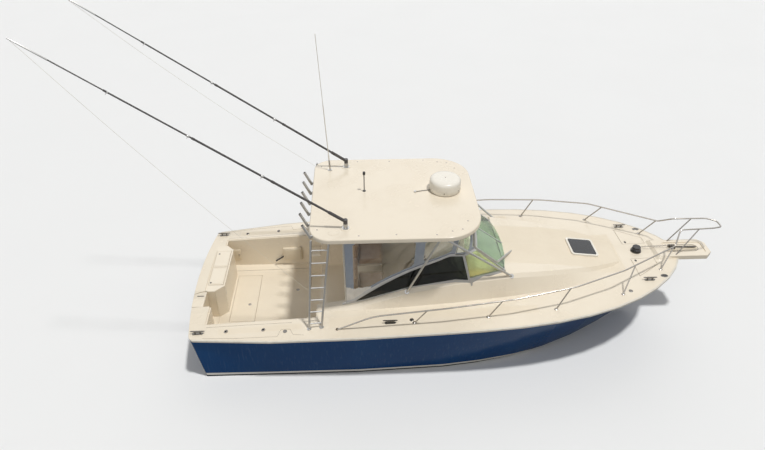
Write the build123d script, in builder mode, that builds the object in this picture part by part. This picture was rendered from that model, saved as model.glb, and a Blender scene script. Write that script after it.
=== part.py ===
from build123d import *
from math import cos, hypot, radians, sin, tan
import os

os.makedirs("parts", exist_ok=True)

# Express sport fishing boat, afloat. Millimetres.
# +X points to the bow, +Y to port, +Z up. The origin lies on the waterline,
# on the centreline, midway between the transom corners and the stem.

# Hull lines
transom_x = -4375
stem_x = 4550
hull_half_beam = 1785
transom_taper = 215
sheer_aft_z = 890
sheer_slope = 0.0529
chine_half_beam = 1560
chine_aft_z = -20
chine_rise = 1250
chine_flat = 85
chine_start_x = -1800
keel_z = -500
keel_rise = 1700
forefoot_x = 500
transom_rake = 10
transom_bulge = 115
transom_half_width = 1580
quarter_radius = 160
quarter_flare = 190

# Deck moulding
toe_inset = 165
rub_band = 14
toe_rise = 25
crown_rise = 50
trunk_shoulder = 60
trunk_camber = 20

# Cockpit, helm well and cabin
cockpit_aft_x = -4150
cockpit_half_width = 1250
side_void_y = 1520
side_void_z = 450
sole_z = 300
helm_aft_x = -2200
helm_half_width = 920
helm_sole_z = 500
bulkhead_x = -350
bulkhead_wall = 40
dash_front_x = 1110
liner_wall = 25
cabin_sole_z = 60
cabin_front_x = 3050

# Transom unit and door
door_port_y = -365
door_width = 420
door_inner_x = -4270
door_thickness = 200
hinge_inset = 13
pin_radius = 5
unit_port_y = 1030
unit_front_x = -3975
unit_aft_x = -4310
unit_chamfer = 130
lid_thickness = 24
lazarette_front_x = -3460
lazarette_aft_x = -3930
lazarette_stbd_y = -500
lazarette_port_y = 850

# Steering wheel
wheel_radius = 190
wheel_shaft = 12

# Engines and running gear
engine_length = 1050
engine_width = 560
engine_height = 600
engine_y = 560
engine_aft_x = -1950
shaft_y = 620
shaft_angle = 10
shaft_radius = 18
propeller_x = -3560
propeller_z = -600
propeller_radius = 215
rudder_x = -4010
rudder_stock_radius = 19

# Hardtop
hardtop_z = 2770
hardtop_thickness = 75
hardtop_aft_x = -2250
hardtop_front_x = 590
hardtop_half_width = 1300
hardtop_crown = 35
tube_radius = 19

# Windshield
glass_thickness = 8
frame_bar = 28
windshield_base_x = 1235
windshield_base_z = 1600
windshield_top_z = 2060

# Deck gear
rail_radius = 13
pulpit_half_width = 255
pulpit_tip_x = 5150
pulpit_root_x = 4120
hatch_x = 2720
hatch_side = 490
trunk_fall = 7.2
whip_length = 2500
outrigger_length = 5300
outrigger_elevation = 35
outrigger_x = -1660
outrigger_y = 990
radar_diameter = 580
radar_height = 245
holder_radius = 24
holder_bore = 20.5
holder_length = 230
holder_rake = 15
launcher_length = 280

# Fits
seam = 6
running_gap = 0.4
seat_gap = 0.3


def sheer_z(x):
    return sheer_aft_z + sheer_slope * (x - transom_x)


def sheer_y(x):
    """Half-breadth at the sheer: a full round bow, a slight taper aft."""
    if x < 0:
        return hull_half_beam - transom_taper * abs(x / transom_x) ** 3
    return hull_half_beam * (1 - (x / stem_x) ** 2.8) ** 0.62


def chine_y(x):
    share = max(0, x - chine_start_x) / (stem_x - chine_start_x)
    return chine_half_beam * (1 - share ** 2.5)


def chine_z(x):
    share = max(0, x - chine_start_x) / (stem_x - chine_start_x)
    return chine_aft_z + chine_rise * share ** 4.2


def keel_line_z(x):
    share = max(0, x - forefoot_x) / (stem_x - forefoot_x)
    return keel_z + keel_rise * share ** 5


def crown_z(x):
    return sheer_z(x) + toe_rise + crown_rise * sheer_y(x) / hull_half_beam


def toe_y(x):
    return sheer_y(x) - min(toe_inset, 0.45 * sheer_y(x))


def deck_z(x, y):
    """Top of the crowned deck, as a parabola between its toe lines."""
    share = min(1, abs(y) / toe_y(x))
    low = sheer_z(x) + toe_rise
    return low + (crown_z(x) - low) * (1 - share ** 2)


def between(table, x):
    """Straight interpolation in rows of (x, value)."""
    for low, high in zip(table, table[1:]):
        if x <= high[0]:
            return low[1] + (high[1] - low[1]) * (x - low[0]) / (high[0] - low[0])
    return table[-1][1]


# Trunk: rows of x, half-width at the deck, half-width at the shoulder, top height
trunk_rows = [
    (-2150, 1170, 1130, 1040),
    (-1400, 1160, 1105, 1200),
    (-600, 1140, 1065, 1440),
    (200, 1115, 1025, 1580),
    (1110, 1060, 945, 1625),
    (2000, 980, 810, 1560),
    (2750, 820, 610, 1460),
    (3350, 580, 350, 1375),
]
trunk_top = [(row[0], row[3]) for row in trunk_rows]

bow_steps = 11
nose_gap = 4
aft_stations = [-4700, -3000, -1500]
bow_stations = [(stem_x - nose_gap) * sin(radians(90 * i / bow_steps)) for i in range(bow_steps + 1)]
stations = aft_stations + bow_stations


def transom_cutter():
    """The block outside the raked, bulged transom with its rounded quarters."""
    low_z = -900
    rake = radians(transom_rake)
    corner_x = transom_x + (sheer_aft_z - low_z) * tan(rake)
    side = transom_half_width
    with BuildPart() as cutter:
        with BuildSketch(Plane.XY.offset(low_z)) as outline:
            with BuildLine():
                back = ThreePointArc((corner_x, -side), (corner_x - transom_bulge, 0), (corner_x, side))
                Polyline(back @ 1, (corner_x + 900, side + quarter_flare), (corner_x + 900, 3000),
                         (corner_x - 1500, 3000), (corner_x - 1500, -3000), (corner_x + 900, -3000),
                         (corner_x + 900, -side - quarter_flare), back @ 0)
            make_face()
            corners = outline.vertices().sort_by(lambda v: hypot(v.X - corner_x, abs(v.Y) - side))[0:2]
            fillet(corners, quarter_radius)
        extrude(amount=3600, dir=(-sin(rake), 0, cos(rake)))
    return cutter.part


def block(x0, x1, y0, y1, z0, z1):
    """A box between two corners."""
    solid = Box(x1 - x0, y1 - y0, z1 - z0, mode=Mode.PRIVATE)
    return Pos((x0 + x1) / 2, (y0 + y1) / 2, (z0 + z1) / 2) * solid


def prism(points, z0, z1):
    """A plan outline raised from z0 to z1."""
    with BuildPart() as raised:
        with BuildSketch(Plane.XY.offset(z0)):
            with BuildLine():
                Polyline(*points, close=True)
            make_face()
        extrude(amount=z1 - z0)
    return raised.part


def tube(points, radius, bend=None):
    """A round bar or tube's outside, straight between points, with one bend radius."""
    with BuildPart() as run:
        with BuildLine() as path:
            if bend and len(points) > 2:
                FilletPolyline(*points, radius=bend)
            else:
                Polyline(*points)
        with BuildSketch(Plane(origin=path.line @ 0, z_dir=path.line % 0)):
            Circle(radius)
        sweep(path=path.line)
    return run.part


def loft_rows(sections):
    """A ruled solid through closed outlines of (y, z) points at each x."""
    with BuildPart() as body:
        for x, outline in sections:
            with BuildSketch(Plane.YZ.offset(x)):
                with BuildLine():
                    Polyline(*outline, close=True)
                make_face()
        loft(ruled=True)
    return body.part


def save(part, name):
    part.label = name
    export_step(part, "parts/" + name + ".step")


outside_transom = transom_cutter()

# The open spaces cut through hull and deck
door_stbd_y = door_port_y - door_width
door_hinge_x = door_inner_x + hinge_inset
door_hinge_y = door_stbd_y + hinge_inset
cabin_rows = [
    (bulkhead_x + bulkhead_wall, 890, cabin_sole_z, 1460),
    (1110, 860, cabin_sole_z, 1575),
    (2000, 740, 160, 1505),
    (2750, 520, 520, 1395),
    (cabin_front_x, 400, 700, 1340),
]
cabin_space = loft_rows([
    (x, [(-y, low), (-y, high), (y, high), (y, low)]) for x, y, low, high in cabin_rows
])
cockpit_space = block(cockpit_aft_x, helm_aft_x, -cockpit_half_width, cockpit_half_width,
                      sole_z - liner_wall, 1400)
helm_space = block(helm_aft_x - 1, bulkhead_x + bulkhead_wall, -helm_half_width, helm_half_width,
                   helm_sole_z - liner_wall, 1900)
dash_space = block(bulkhead_x, dash_front_x, -helm_half_width, helm_half_width, 1250, 1900)
unit_outline = [
    (unit_aft_x, unit_port_y),
    (unit_front_x - unit_chamfer, unit_port_y),
    (unit_front_x, unit_port_y - unit_chamfer),
    (unit_front_x, door_port_y + unit_chamfer + 25),
    (cockpit_aft_x + 10, door_port_y),
    (unit_aft_x, door_port_y),
]
unit_space = prism(unit_outline, sole_z, 1400)
jamb_radius = hypot(hinge_inset, door_width - hinge_inset)
door_outer_x = door_inner_x - door_thickness - 60


def swing_y(x, radius):
    """Where a circle about the transom door's hinge crosses x."""
    return door_hinge_y + (radius ** 2 - (x - door_hinge_x) ** 2) ** 0.5


def door_prism(front_x, radius, gap, z0, z1):
    """The transom door's plan, its free edge curved about the hinge."""
    with BuildPart() as raised:
        with BuildSketch(Plane.XY.offset(z0)) as outline:
            with BuildLine():
                mid_x = (door_inner_x + door_outer_x) / 2
                free = ThreePointArc((door_inner_x, swing_y(door_inner_x, radius)),
                                     (mid_x, swing_y(mid_x, radius)),
                                     (door_outer_x, swing_y(door_outer_x, radius)))
                Polyline(free @ 1, (transom_x - 300, (free @ 1).Y), (transom_x - 300, door_stbd_y + gap),
                         (front_x, door_stbd_y + gap), (front_x, swing_y(door_inner_x, radius)), free @ 0)
            make_face()
        extrude(outline.sketch, amount=z1 - z0)
    return raised.part


door_space = door_prism(cockpit_aft_x + 60, jamb_radius, 0, sole_z + 20, 1400)
engine_space = block(-2150, -460, -880, 880, -140, helm_sole_z - liner_wall)
lazarette_space = block(lazarette_aft_x + 40, lazarette_front_x - 40, lazarette_stbd_y + 40,
                        lazarette_port_y - 40, -120, sole_z)

hatch_z = between(trunk_top, hatch_x) + trunk_camber
hatch_plane = Plane(origin=(hatch_x, 0, hatch_z), x_dir=(cos(radians(trunk_fall)), 0,
                                                         -sin(radians(trunk_fall))),
                    z_dir=(sin(radians(trunk_fall)), 0, cos(radians(trunk_fall))))
with BuildPart() as hatch_hole:
    with BuildSketch(hatch_plane.offset(-200)):
        Rectangle(hatch_side - 90, hatch_side - 90)
    extrude(amount=400)
anchor_lid_plan = [(3600, 225), (3600, 720), (4040, 420), (4040, 225)]


def anchor_pocket(gap, z0, z1):
    """Both anchor lockers, port and starboard, inset by a gap."""
    with BuildPart() as pocket:
        with BuildSketch(Plane.XY.offset(z0)) as outline:
            with BuildLine():
                Polyline(*anchor_lid_plan, close=True)
            make_face()
            offset(amount=-gap)
        extrude(outline.sketch, amount=z1 - z0)
        mirror(about=Plane.XZ)
    return pocket.part


holder_places = [(-3760, 1430), (-3120, 1450)]
holder_planes = []
for holder_x, holder_y in holder_places:
    for side in (1, -1):
        holder_planes.append(Plane(origin=(holder_x, side * holder_y, deck_z(holder_x, holder_y)),
                                   z_dir=(-sin(radians(holder_rake)), 0, cos(radians(holder_rake)))))
with BuildPart() as holder_pockets:
    for plane in holder_planes:
        with BuildSketch(plane.offset(60)):
            Circle(holder_radius + seat_gap)
        extrude(amount=-60 - holder_length)
side_voids = [
    block(cockpit_aft_x, helm_aft_x, min(side * cockpit_half_width, side * side_void_y),
          max(side * cockpit_half_width, side * side_void_y), side_void_z, 1400)
    for side in (-1, 1)
]
rudder_shelf_z = -150
with BuildPart() as rudder_bores:
    with BuildSketch(Plane.XY.offset(rudder_shelf_z)):
        with Locations((rudder_x, shaft_y), (rudder_x, -shaft_y)):
            Circle(rudder_stock_radius + running_gap)
    extrude(amount=-400)

shaft_direction = Vector(cos(radians(shaft_angle)), 0, sin(radians(shaft_angle)))
shaft_length = 1800
with BuildPart() as shaft_bores:
    for side in (-1, 1):
        with BuildSketch(Plane(origin=(propeller_x, side * shaft_y, propeller_z), z_dir=shaft_direction)):
            Circle(shaft_radius + running_gap)
        extrude(amount=shaft_length + 3)

# Hull: deep-V with a chine flat and a raked stem
with BuildPart() as hull:
    for x in stations:
        with BuildSketch(Plane.YZ.offset(x)):
            y_chine = chine_y(x)
            z_chine = chine_z(x)
            y_flat = y_chine * (1 - chine_flat / chine_half_beam)
            with BuildLine():
                Polyline((0, keel_line_z(x)), (-y_flat, z_chine), (-y_chine, z_chine),
                         (-sheer_y(x), sheer_z(x)),
                         (sheer_y(x), sheer_z(x)), (y_chine, z_chine), (y_flat, z_chine), close=True)
            make_face()
    loft(ruled=True)
    for space in (outside_transom, cabin_space, cockpit_space, helm_space, dash_space, unit_space,
                  door_space,
                  engine_space, lazarette_space, anchor_pocket(40, 1140, 1500), *side_voids,
                  rudder_bores.part, shaft_bores.part):
        add(space, mode=Mode.SUBTRACT)
save(hull.part, "hull")

# Deck moulding: toe line, crowned deck and the trunk that carries the windshield
with BuildPart() as deck:
    for x in stations:
        with BuildSketch(Plane.YZ.offset(x)):
            z_low = sheer_z(x) + seat_gap
            z_toe = sheer_z(x) + toe_rise
            with BuildLine():
                crown = ThreePointArc((-toe_y(x), z_toe), (0, crown_z(x)), (toe_y(x), z_toe))
                Polyline(crown @ 1, (sheer_y(x), z_low + rub_band), (sheer_y(x), z_low),
                         (-sheer_y(x), z_low),
                         (-sheer_y(x), z_low + rub_band), crown @ 0)
            make_face()
    loft(ruled=True)
    trunk_sections = []
    for x, deck_y, top_y, top_z in trunk_rows:
        low = sheer_z(x) + 20
        drop = min(trunk_shoulder, 0.8 * (top_z - low))
        trunk_sections.append((x, [
            (-deck_y, low), (-top_y, top_z - drop), (-top_y + drop, top_z), (0, top_z + trunk_camber),
            (top_y - drop, top_z), (top_y, top_z - drop), (deck_y, low),
        ]))
    add(loft_rows(trunk_sections))
deck_skin = deck.part
with BuildPart() as deck:
    add(deck_skin)
    for space in (outside_transom, cabin_space, cockpit_space, helm_space, dash_space, unit_space,
                  door_space,
                  hatch_hole.part, anchor_pocket(0, 1200, 1600), holder_pockets.part):
        add(space, mode=Mode.SUBTRACT)
save(deck.part, "deck")

# Rub rail along the sheer, both sides, seated on hull and deck
rub_rail_out = 24
rub_rail_high = 44
with BuildPart() as rub_rail:
    rail_sections = []
    for x in stations:
        y = sheer_y(x)
        slant = (sheer_y(x - 5) - sheer_y(x)) / 5 if x > 0 else 0
        out = rub_rail_out * min(2.5, hypot(1, slant))
        low = sheer_z(x) - 0.6 * rub_rail_high
        rail_sections.append((x, [(-y + 5, low), (-y - out, low + 6), (-y - out, low + rub_rail_high - 6),
                                  (-y + 5, low + rub_rail_high)]))
    add(loft_rows(rail_sections))
    mirror(about=Plane.XZ)
    add(outside_transom, mode=Mode.SUBTRACT)
    add(hull.part, mode=Mode.SUBTRACT)
    add(deck.part, mode=Mode.SUBTRACT)
save(rub_rail.part, "rub_rail")

# Cockpit liner: walls, soles and the step up to the helm
cap_drop = 12
aft_wall_top = deck_z(cockpit_aft_x, cockpit_half_width) - cap_drop
fore_wall_top = deck_z(helm_aft_x, cockpit_half_width) - cap_drop
with BuildPart() as liner:
    add(block(cockpit_aft_x, helm_aft_x, -cockpit_half_width, cockpit_half_width, sole_z - liner_wall, 1200))
    add(block(cockpit_aft_x + liner_wall, helm_aft_x - liner_wall, -cockpit_half_width + liner_wall,
              cockpit_half_width - liner_wall, sole_z, 1300), mode=Mode.SUBTRACT)
    add(block(helm_aft_x, bulkhead_x, -helm_half_width, helm_half_width, helm_sole_z - liner_wall, 1600))
    add(block(helm_aft_x - 2 * liner_wall, bulkhead_x + 1, -helm_half_width + liner_wall,
              helm_half_width - liner_wall, helm_sole_z, 1700), mode=Mode.SUBTRACT)
    with BuildSketch(Plane.XZ.offset(-3000)) as above_walls:
        with BuildLine():
            Polyline((cockpit_aft_x - 50, aft_wall_top), (helm_aft_x, fore_wall_top),
                     (-1400, between(trunk_top, -1400) - cap_drop),
                     (-600, between(trunk_top, -600) - cap_drop),
                     (bulkhead_x + 50, between(trunk_top, bulkhead_x + 50) - cap_drop - 30),
                     (bulkhead_x + 50, 2000),
                     (cockpit_aft_x - 50, 2000), close=True)
        make_face()
    extrude(above_walls.sketch, amount=6000, mode=Mode.SUBTRACT)
    add(unit_space, mode=Mode.SUBTRACT)
    add(door_space, mode=Mode.SUBTRACT)
    add(block(lazarette_aft_x - seam, lazarette_front_x + seam, lazarette_stbd_y - seam,
              lazarette_port_y + seam,
              sole_z - 2 * liner_wall, sole_z + 10), mode=Mode.SUBTRACT)
save(liner.part, "cockpit_liner")

# Transom unit: moulded bait and tackle box with two bins
bin_wall = 40
bin_depth = 420
unit_top_z = deck_z(cockpit_aft_x, cockpit_half_width) + 8
lid_rebate = 14
lid_aft_x = unit_aft_x + 25
lid_front_x = unit_front_x - 30
lid_split_y = 345
lid_spans = {
    "bait_lid_port": (lid_split_y + seam, unit_port_y - 160),
    "bait_lid_starboard": (door_port_y + unit_chamfer + 55, lid_split_y - seam),
}
with BuildPart() as transom_unit:
    add(prism(unit_outline, sole_z, unit_top_z))
    for y0, y1 in lid_spans.values():
        add(block(lid_aft_x - seam, lid_front_x + seam, y0 - seam, y1 + seam, unit_top_z - lid_rebate,
                  unit_top_z + 50),
            mode=Mode.SUBTRACT)
        add(block(lid_aft_x + bin_wall, lid_front_x - bin_wall, y0 + bin_wall, y1 - bin_wall,
                  unit_top_z - bin_depth, unit_top_z + 50), mode=Mode.SUBTRACT)
save(transom_unit.part, "transom_unit")

lid_low = unit_top_z - lid_rebate + seat_gap
for name, (y0, y1) in lid_spans.items():
    with BuildPart() as lid:
        add(block(lid_aft_x, lid_front_x, y0, y1, lid_low, lid_low + lid_thickness))
        chamfer(lid.faces().sort_by(Axis.Z)[-1].edges(), 4)
    save(lid.part, name)

# Transom door, hung on pins at its starboard side, its free edge curved about them
knuckle_radius = 9
door_top_z = unit_top_z
bracket_zs = (480, 850)
knuckle_half = 30
with BuildPart() as transom_door:
    add(door_prism(door_inner_x, jamb_radius - seam, seam, sole_z + 20 + seam, door_top_z))
    add(outside_transom, mode=Mode.SUBTRACT)
    for z in bracket_zs:
        add(block(door_hinge_x - 2 * hinge_inset, door_hinge_x, door_hinge_y, door_hinge_y + 20,
                  z - knuckle_half,
                  z + knuckle_half))
        add(block(door_hinge_x - knuckle_radius, door_hinge_x + knuckle_radius,
                  door_hinge_y - knuckle_radius,
                  door_hinge_y + knuckle_radius, z - knuckle_half, z + knuckle_half))
    with BuildSketch(Plane.XY):
        with Locations((door_hinge_x, door_hinge_y)):
            Circle(pin_radius + running_gap)
    extrude(amount=door_top_z, mode=Mode.SUBTRACT)
save(transom_door.part, "transom_door")

# Bulkhead, dash and helm pod
pod_aft_x = -440
pod_port_y = -130
pod_stbd_y = -820
doorway_y = (-30, 560)
doorway_z = (helm_sole_z + 10, 1400)
dash_aft_z = 1500
dash_front_z = 1600
dash_wall = 40
wheel_y = (pod_port_y + pod_stbd_y) / 2
wheel_axis = Vector(-0.949, 0, 0.316)
wheel_boss = Vector(pod_aft_x + 55, wheel_y, 1315)
with BuildPart() as helm_console:
    add(block(bulkhead_x, bulkhead_x + bulkhead_wall, -helm_half_width + seat_gap,
              helm_half_width - seat_gap,
              helm_sole_z - liner_wall + seat_gap, dash_aft_z - 5))
    with BuildSketch(Plane.XZ.offset(-helm_half_width + seat_gap)) as dash_side:
        with BuildLine():
            Polyline((bulkhead_x, dash_aft_z), (bulkhead_x, dash_aft_z - dash_wall),
                     (dash_front_x - seat_gap, dash_front_z - dash_wall),
                     (dash_front_x - seat_gap, dash_front_z),
                     close=True)
        make_face()
    extrude(dash_side.sketch, amount=2 * (helm_half_width - seat_gap))
    with BuildSketch(Plane.XZ.offset(-pod_port_y)) as pod_side:
        with BuildLine():
            Polyline((bulkhead_x + 30, 1000), (pod_aft_x + 40, 1050), (pod_aft_x, 1150),
                     (pod_aft_x + 110, 1480),
                     (pod_aft_x + 230, 1590), (pod_aft_x + 520, 1570), (pod_aft_x + 520, 1510),
                     (bulkhead_x + 30, 1470), close=True)
        make_face()
    extrude(pod_side.sketch, amount=pod_port_y - pod_stbd_y)
    with BuildSketch(Plane(origin=wheel_boss, z_dir=wheel_axis).offset(-20)):
        Circle(48)
    extrude(amount=65)
    with BuildSketch(Plane(origin=wheel_boss, z_dir=wheel_axis).offset(-30)):
        Circle(wheel_shaft + running_gap)
    extrude(amount=100, mode=Mode.SUBTRACT)
    add(block(bulkhead_x - 10, bulkhead_x + bulkhead_wall + 10, *doorway_y, *doorway_z), mode=Mode.SUBTRACT)
save(helm_console.part, "helm_console")

# Steering wheel: dished spokes, a round rim and the shaft in its boss
wheel_reach = 130
wheel_plane = Plane(origin=wheel_boss + wheel_axis * wheel_reach, x_dir=(0, 1, 0), z_dir=wheel_axis)
with BuildPart() as steering_wheel:
    with BuildSketch(Plane(origin=wheel_plane.origin, x_dir=wheel_plane.x_dir, z_dir=wheel_plane.y_dir)):
        with Locations((wheel_radius, 0)):
            Circle(14)
    revolve(axis=Axis(wheel_plane.origin, wheel_axis))
    for turn in range(5):
        spoke_turn = radians(90 + 72 * turn)
        spoke = wheel_plane.x_dir * cos(spoke_turn) + wheel_plane.y_dir * sin(spoke_turn)
        with BuildSketch(Plane(origin=wheel_plane.origin - wheel_axis * 30,
                               z_dir=spoke + wheel_axis * 0.16)):
            Circle(8)
        extrude(amount=wheel_radius)
    with BuildSketch(wheel_plane.offset(-wheel_reach - 15)):
        Circle(wheel_shaft)
    extrude(amount=wheel_reach)
    with BuildSketch(wheel_plane.offset(-60)):
        Circle(38)
    extrude(amount=50)
save(steering_wheel.part, "steering_wheel")

# Cabin door in the bulkhead, hung at its port side to swing aft
door_leaf = 25
cabin_hinge_x = bulkhead_x - 12
cabin_hinge_y = doorway_y[1] - 12
cabin_bracket_zs = (680, 1220)
with BuildPart() as cabin_door:
    add(block(bulkhead_x, bulkhead_x + door_leaf, doorway_y[0] + seam, doorway_y[1] - seam,
              doorway_z[0] + seam,
              doorway_z[1] - seam))
    for z in cabin_bracket_zs:
        add(block(cabin_hinge_x, bulkhead_x + 5, cabin_hinge_y - 24, cabin_hinge_y, z - knuckle_half,
                  z + knuckle_half))
        add(block(cabin_hinge_x - knuckle_radius, cabin_hinge_x + knuckle_radius,
                  cabin_hinge_y - knuckle_radius,
                  cabin_hinge_y + knuckle_radius, z - knuckle_half, z + knuckle_half))
    with BuildSketch(Plane.XY):
        with Locations((cabin_hinge_x, cabin_hinge_y)):
            Circle(pin_radius + running_gap)
    extrude(amount=doorway_z[1], mode=Mode.SUBTRACT)
save(cabin_door.part, "cabin_door")

# Hinge brackets and pins of both doors, fixed to the jamb and the bulkhead
with BuildPart() as door_hinges:
    for z in bracket_zs:
        for side in (-1, 1):
            middle = z + side * (knuckle_half + 10)
            add(block(door_hinge_x - knuckle_radius, door_hinge_x + knuckle_radius, door_stbd_y,
                      door_hinge_y + knuckle_radius, middle - 8, middle + 8))
    for z in cabin_bracket_zs:
        for side in (-1, 1):
            middle = z + side * (knuckle_half + 10)
            add(block(cabin_hinge_x - knuckle_radius, bulkhead_x, cabin_hinge_y, cabin_hinge_y + 45,
                      middle - 8, middle + 8))
            with BuildSketch(Plane.XY.offset(middle - 8)):
                with Locations((cabin_hinge_x, cabin_hinge_y)):
                    Circle(knuckle_radius)
            extrude(amount=16)
    for x, y, zs in ((door_hinge_x, door_hinge_y, bracket_zs),
                     (cabin_hinge_x, cabin_hinge_y, cabin_bracket_zs)):
        for z in zs:
            with BuildSketch(Plane.XY.offset(z - 48)):
                with Locations((x, y)):
                    Circle(pin_radius)
            extrude(amount=96)
save(door_hinges.part, "door_hinges")

# Lazarette hatch in the cockpit sole
with BuildPart() as lazarette_hatch:
    add(block(lazarette_aft_x, lazarette_front_x, lazarette_stbd_y, lazarette_port_y,
              sole_z - liner_wall + seat_gap, sole_z))
save(lazarette_hatch.part, "lazarette_hatch")

# Seats: moulded bases with cushions and backrests
seat_front_x = -1020
seat_aft_x = -1500
seat_inner_y = 150
seat_outer_y = 800
seat_top_z = 1050
cushion_thickness = 120
back_height = 480
back_thickness = 90
with BuildPart() as seat_bases:
    for side in (-1, 1):
        add(block(seat_aft_x, seat_front_x, min(side * seat_inner_y, side * seat_outer_y),
                  max(side * seat_inner_y, side * seat_outer_y), helm_sole_z + seat_gap, seat_top_z))
    fillet(seat_bases.edges().filter_by(Axis.Z), 40)
save(seat_bases.part, "seat_bases")
with BuildPart() as seat_cushions:
    for side in (-1, 1):
        low_y = min(side * seat_inner_y, side * seat_outer_y) + 10
        high_y = max(side * seat_inner_y, side * seat_outer_y) - 10
        add(block(seat_aft_x + 20, seat_front_x + 20, low_y, high_y, seat_top_z + seat_gap,
                  seat_top_z + cushion_thickness))
        add(block(seat_aft_x - back_thickness + 20, seat_aft_x + 19, low_y, high_y, seat_top_z + seat_gap,
                  seat_top_z + back_height))
    fillet(seat_cushions.edges(), 18)
save(seat_cushions.part, "seat_cushions")

# Tackle locker and step at the forward port corner of the cockpit
with BuildPart() as tackle_locker:
    add(block(-2480, helm_aft_x - liner_wall - seat_gap, 900, cockpit_half_width - liner_wall - seat_gap,
              sole_z + seat_gap, 760))
    fillet(tackle_locker.faces().sort_by(Axis.Z)[-1].edges(), 40)
save(tackle_locker.part, "tackle_locker")

# Windshield: raked front, corner panes and flat side glass in an aluminium frame
windshield_base = [(450, 975, 0, 1), (1120, 770, 0.66, 0.75), (windshield_base_x, 0, 1, 0)]
windshield_top = [(330, 890, 0, 1), (545, 715, 0.66, 0.75), (620, 0, 1, 0)]


def closed_strip(knees, width):
    """A strip of one width about knees (x, y, outward x, outward y), the last on the centreline."""
    outer = [(x + width / 2 * out_x, y + width / 2 * out_y) for x, y, out_x, out_y in knees]
    inner = [(x - width / 2 * out_x, y - width / 2 * out_y) for x, y, out_x, out_y in knees]
    with BuildSketch() as strip:
        with BuildLine():
            front = ThreePointArc((outer[-2][0], -outer[-2][1]), outer[-1], outer[-2])
            back = ThreePointArc(inner[-2], inner[-1], (inner[-2][0], -inner[-2][1]))
            Polyline(front @ 1, *outer[-3::-1], *inner[:-2], back @ 0)
            Polyline(back @ 1, *[(x, -y) for x, y in inner[-3::-1]], *[(x, -y) for x, y in outer[:-2]],
                     front @ 0)
        make_face()
    return strip.sketch


def windshield_strip(z, width):
    """The windshield's plan at one height."""
    share = (z - windshield_base_z) / (windshield_top_z - windshield_base_z)
    knees = [(a[0] + share * (b[0] - a[0]), a[1] + share * (b[1] - a[1]), a[2], a[3])
             for a, b in zip(windshield_base, windshield_top)]
    return closed_strip(knees, width)


def strip_wall(low, low_strip, high, high_strip):
    """A ruled wall between two strips at two heights."""
    with BuildPart() as wall:
        loft([Pos(0, 0, low) * low_strip.face(), Pos(0, 0, high) * high_strip.face()], ruled=True)
    return wall.part


def side_y(x, z):
    """The side glass's plane, as a half-breadth."""
    return 975 + 0.02295 * (x - 450) - 0.1788 * (z - windshield_base_z)


side_plane = Plane(origin=(450, 975, windshield_base_z), x_dir=(1, 0.02295, 0), z_dir=(-0.02295, 1, 0.1788))
glass_arc = [(-1560, 1205), (-900, 1635), (100, 2075)]
with BuildSketch(Plane.XZ) as side_profile:
    with BuildLine():
        upper = ThreePointArc(*glass_arc)
        Polyline(upper @ 1, (327, 2075), (475, 1510), (200, between(trunk_top, 200) - 50),
                 (-600, between(trunk_top, -600) - 50), (-1400, between(trunk_top, -1400) - 50),
                 (-1790, between(trunk_top, -1790) - 60), (-1760, between(trunk_top, -1760) + 22), upper @ 0)
    make_face()
with BuildSketch(Plane.XZ) as side_pane:
    with BuildLine():
        upper = ThreePointArc((-1540, 1195), (-890, 1608), (100, 2048))
        Polyline(upper @ 1, (305, 2048), (425, 1590), (200, between(trunk_top, 200) + 24),
                 (-600, between(trunk_top, -600) + 24), (-1400, between(trunk_top, -1400) + 24), upper @ 0)
    make_face()
with BuildPart() as side_ring:
    with BuildSketch(side_plane):
        Rectangle(6000, 2400)
    extrude(amount=frame_bar / 2, both=True)
    extrude(side_profile.sketch, amount=-1400, mode=Mode.INTERSECT)
    extrude(side_pane.sketch, amount=-1400, mode=Mode.SUBTRACT)
base_rail = strip_wall(1480, windshield_strip(1480, 44), 1628, windshield_strip(1628, 44))
top_rail = strip_wall(2045, windshield_strip(2045, 40), 2078, windshield_strip(2078, 40))
with BuildPart() as windshield_frame:
    add(side_ring.part)
    mirror(about=Plane.XZ)
    add(base_rail)
    add(top_rail)
    for (x0, y0, _, _), (x1, y1, _, _) in zip(windshield_base, windshield_top):
        for side in ((1, -1) if y0 else (1,)):
            drop = Vector(x0 - x1, side * (y0 - y1), windshield_base_z - windshield_top_z)
            foot = Vector(x0, side * y0, windshield_base_z) + drop * 0.15
            add(tube([foot, Vector(x1, side * y1, windshield_top_z)], frame_bar / 2))
    add(deck.part, mode=Mode.SUBTRACT)
    add(helm_console.part, mode=Mode.SUBTRACT)
save(windshield_frame.part, "windshield_frame")

with BuildPart() as glazing:
    with BuildSketch(side_plane):
        Rectangle(6000, 2400)
    extrude(amount=glass_thickness / 2, both=True)
    extrude(side_profile.sketch, amount=-1400, mode=Mode.INTERSECT)
    mirror(about=Plane.XZ)
    add(strip_wall(1500, windshield_strip(1500, glass_thickness + 4), 2060,
                   windshield_strip(2060, glass_thickness + 4)))
    for body in (deck, helm_console, windshield_frame):
        add(body.part, mode=Mode.SUBTRACT)
save(glazing.part, "glazing")

# Hardtop: a crowned slab with rounded corners
crown_radius = (hardtop_half_width ** 2 + hardtop_crown ** 2) / (2 * hardtop_crown)


def hardtop_top(y):
    return hardtop_z - crown_radius + (crown_radius ** 2 - y ** 2) ** 0.5


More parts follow.
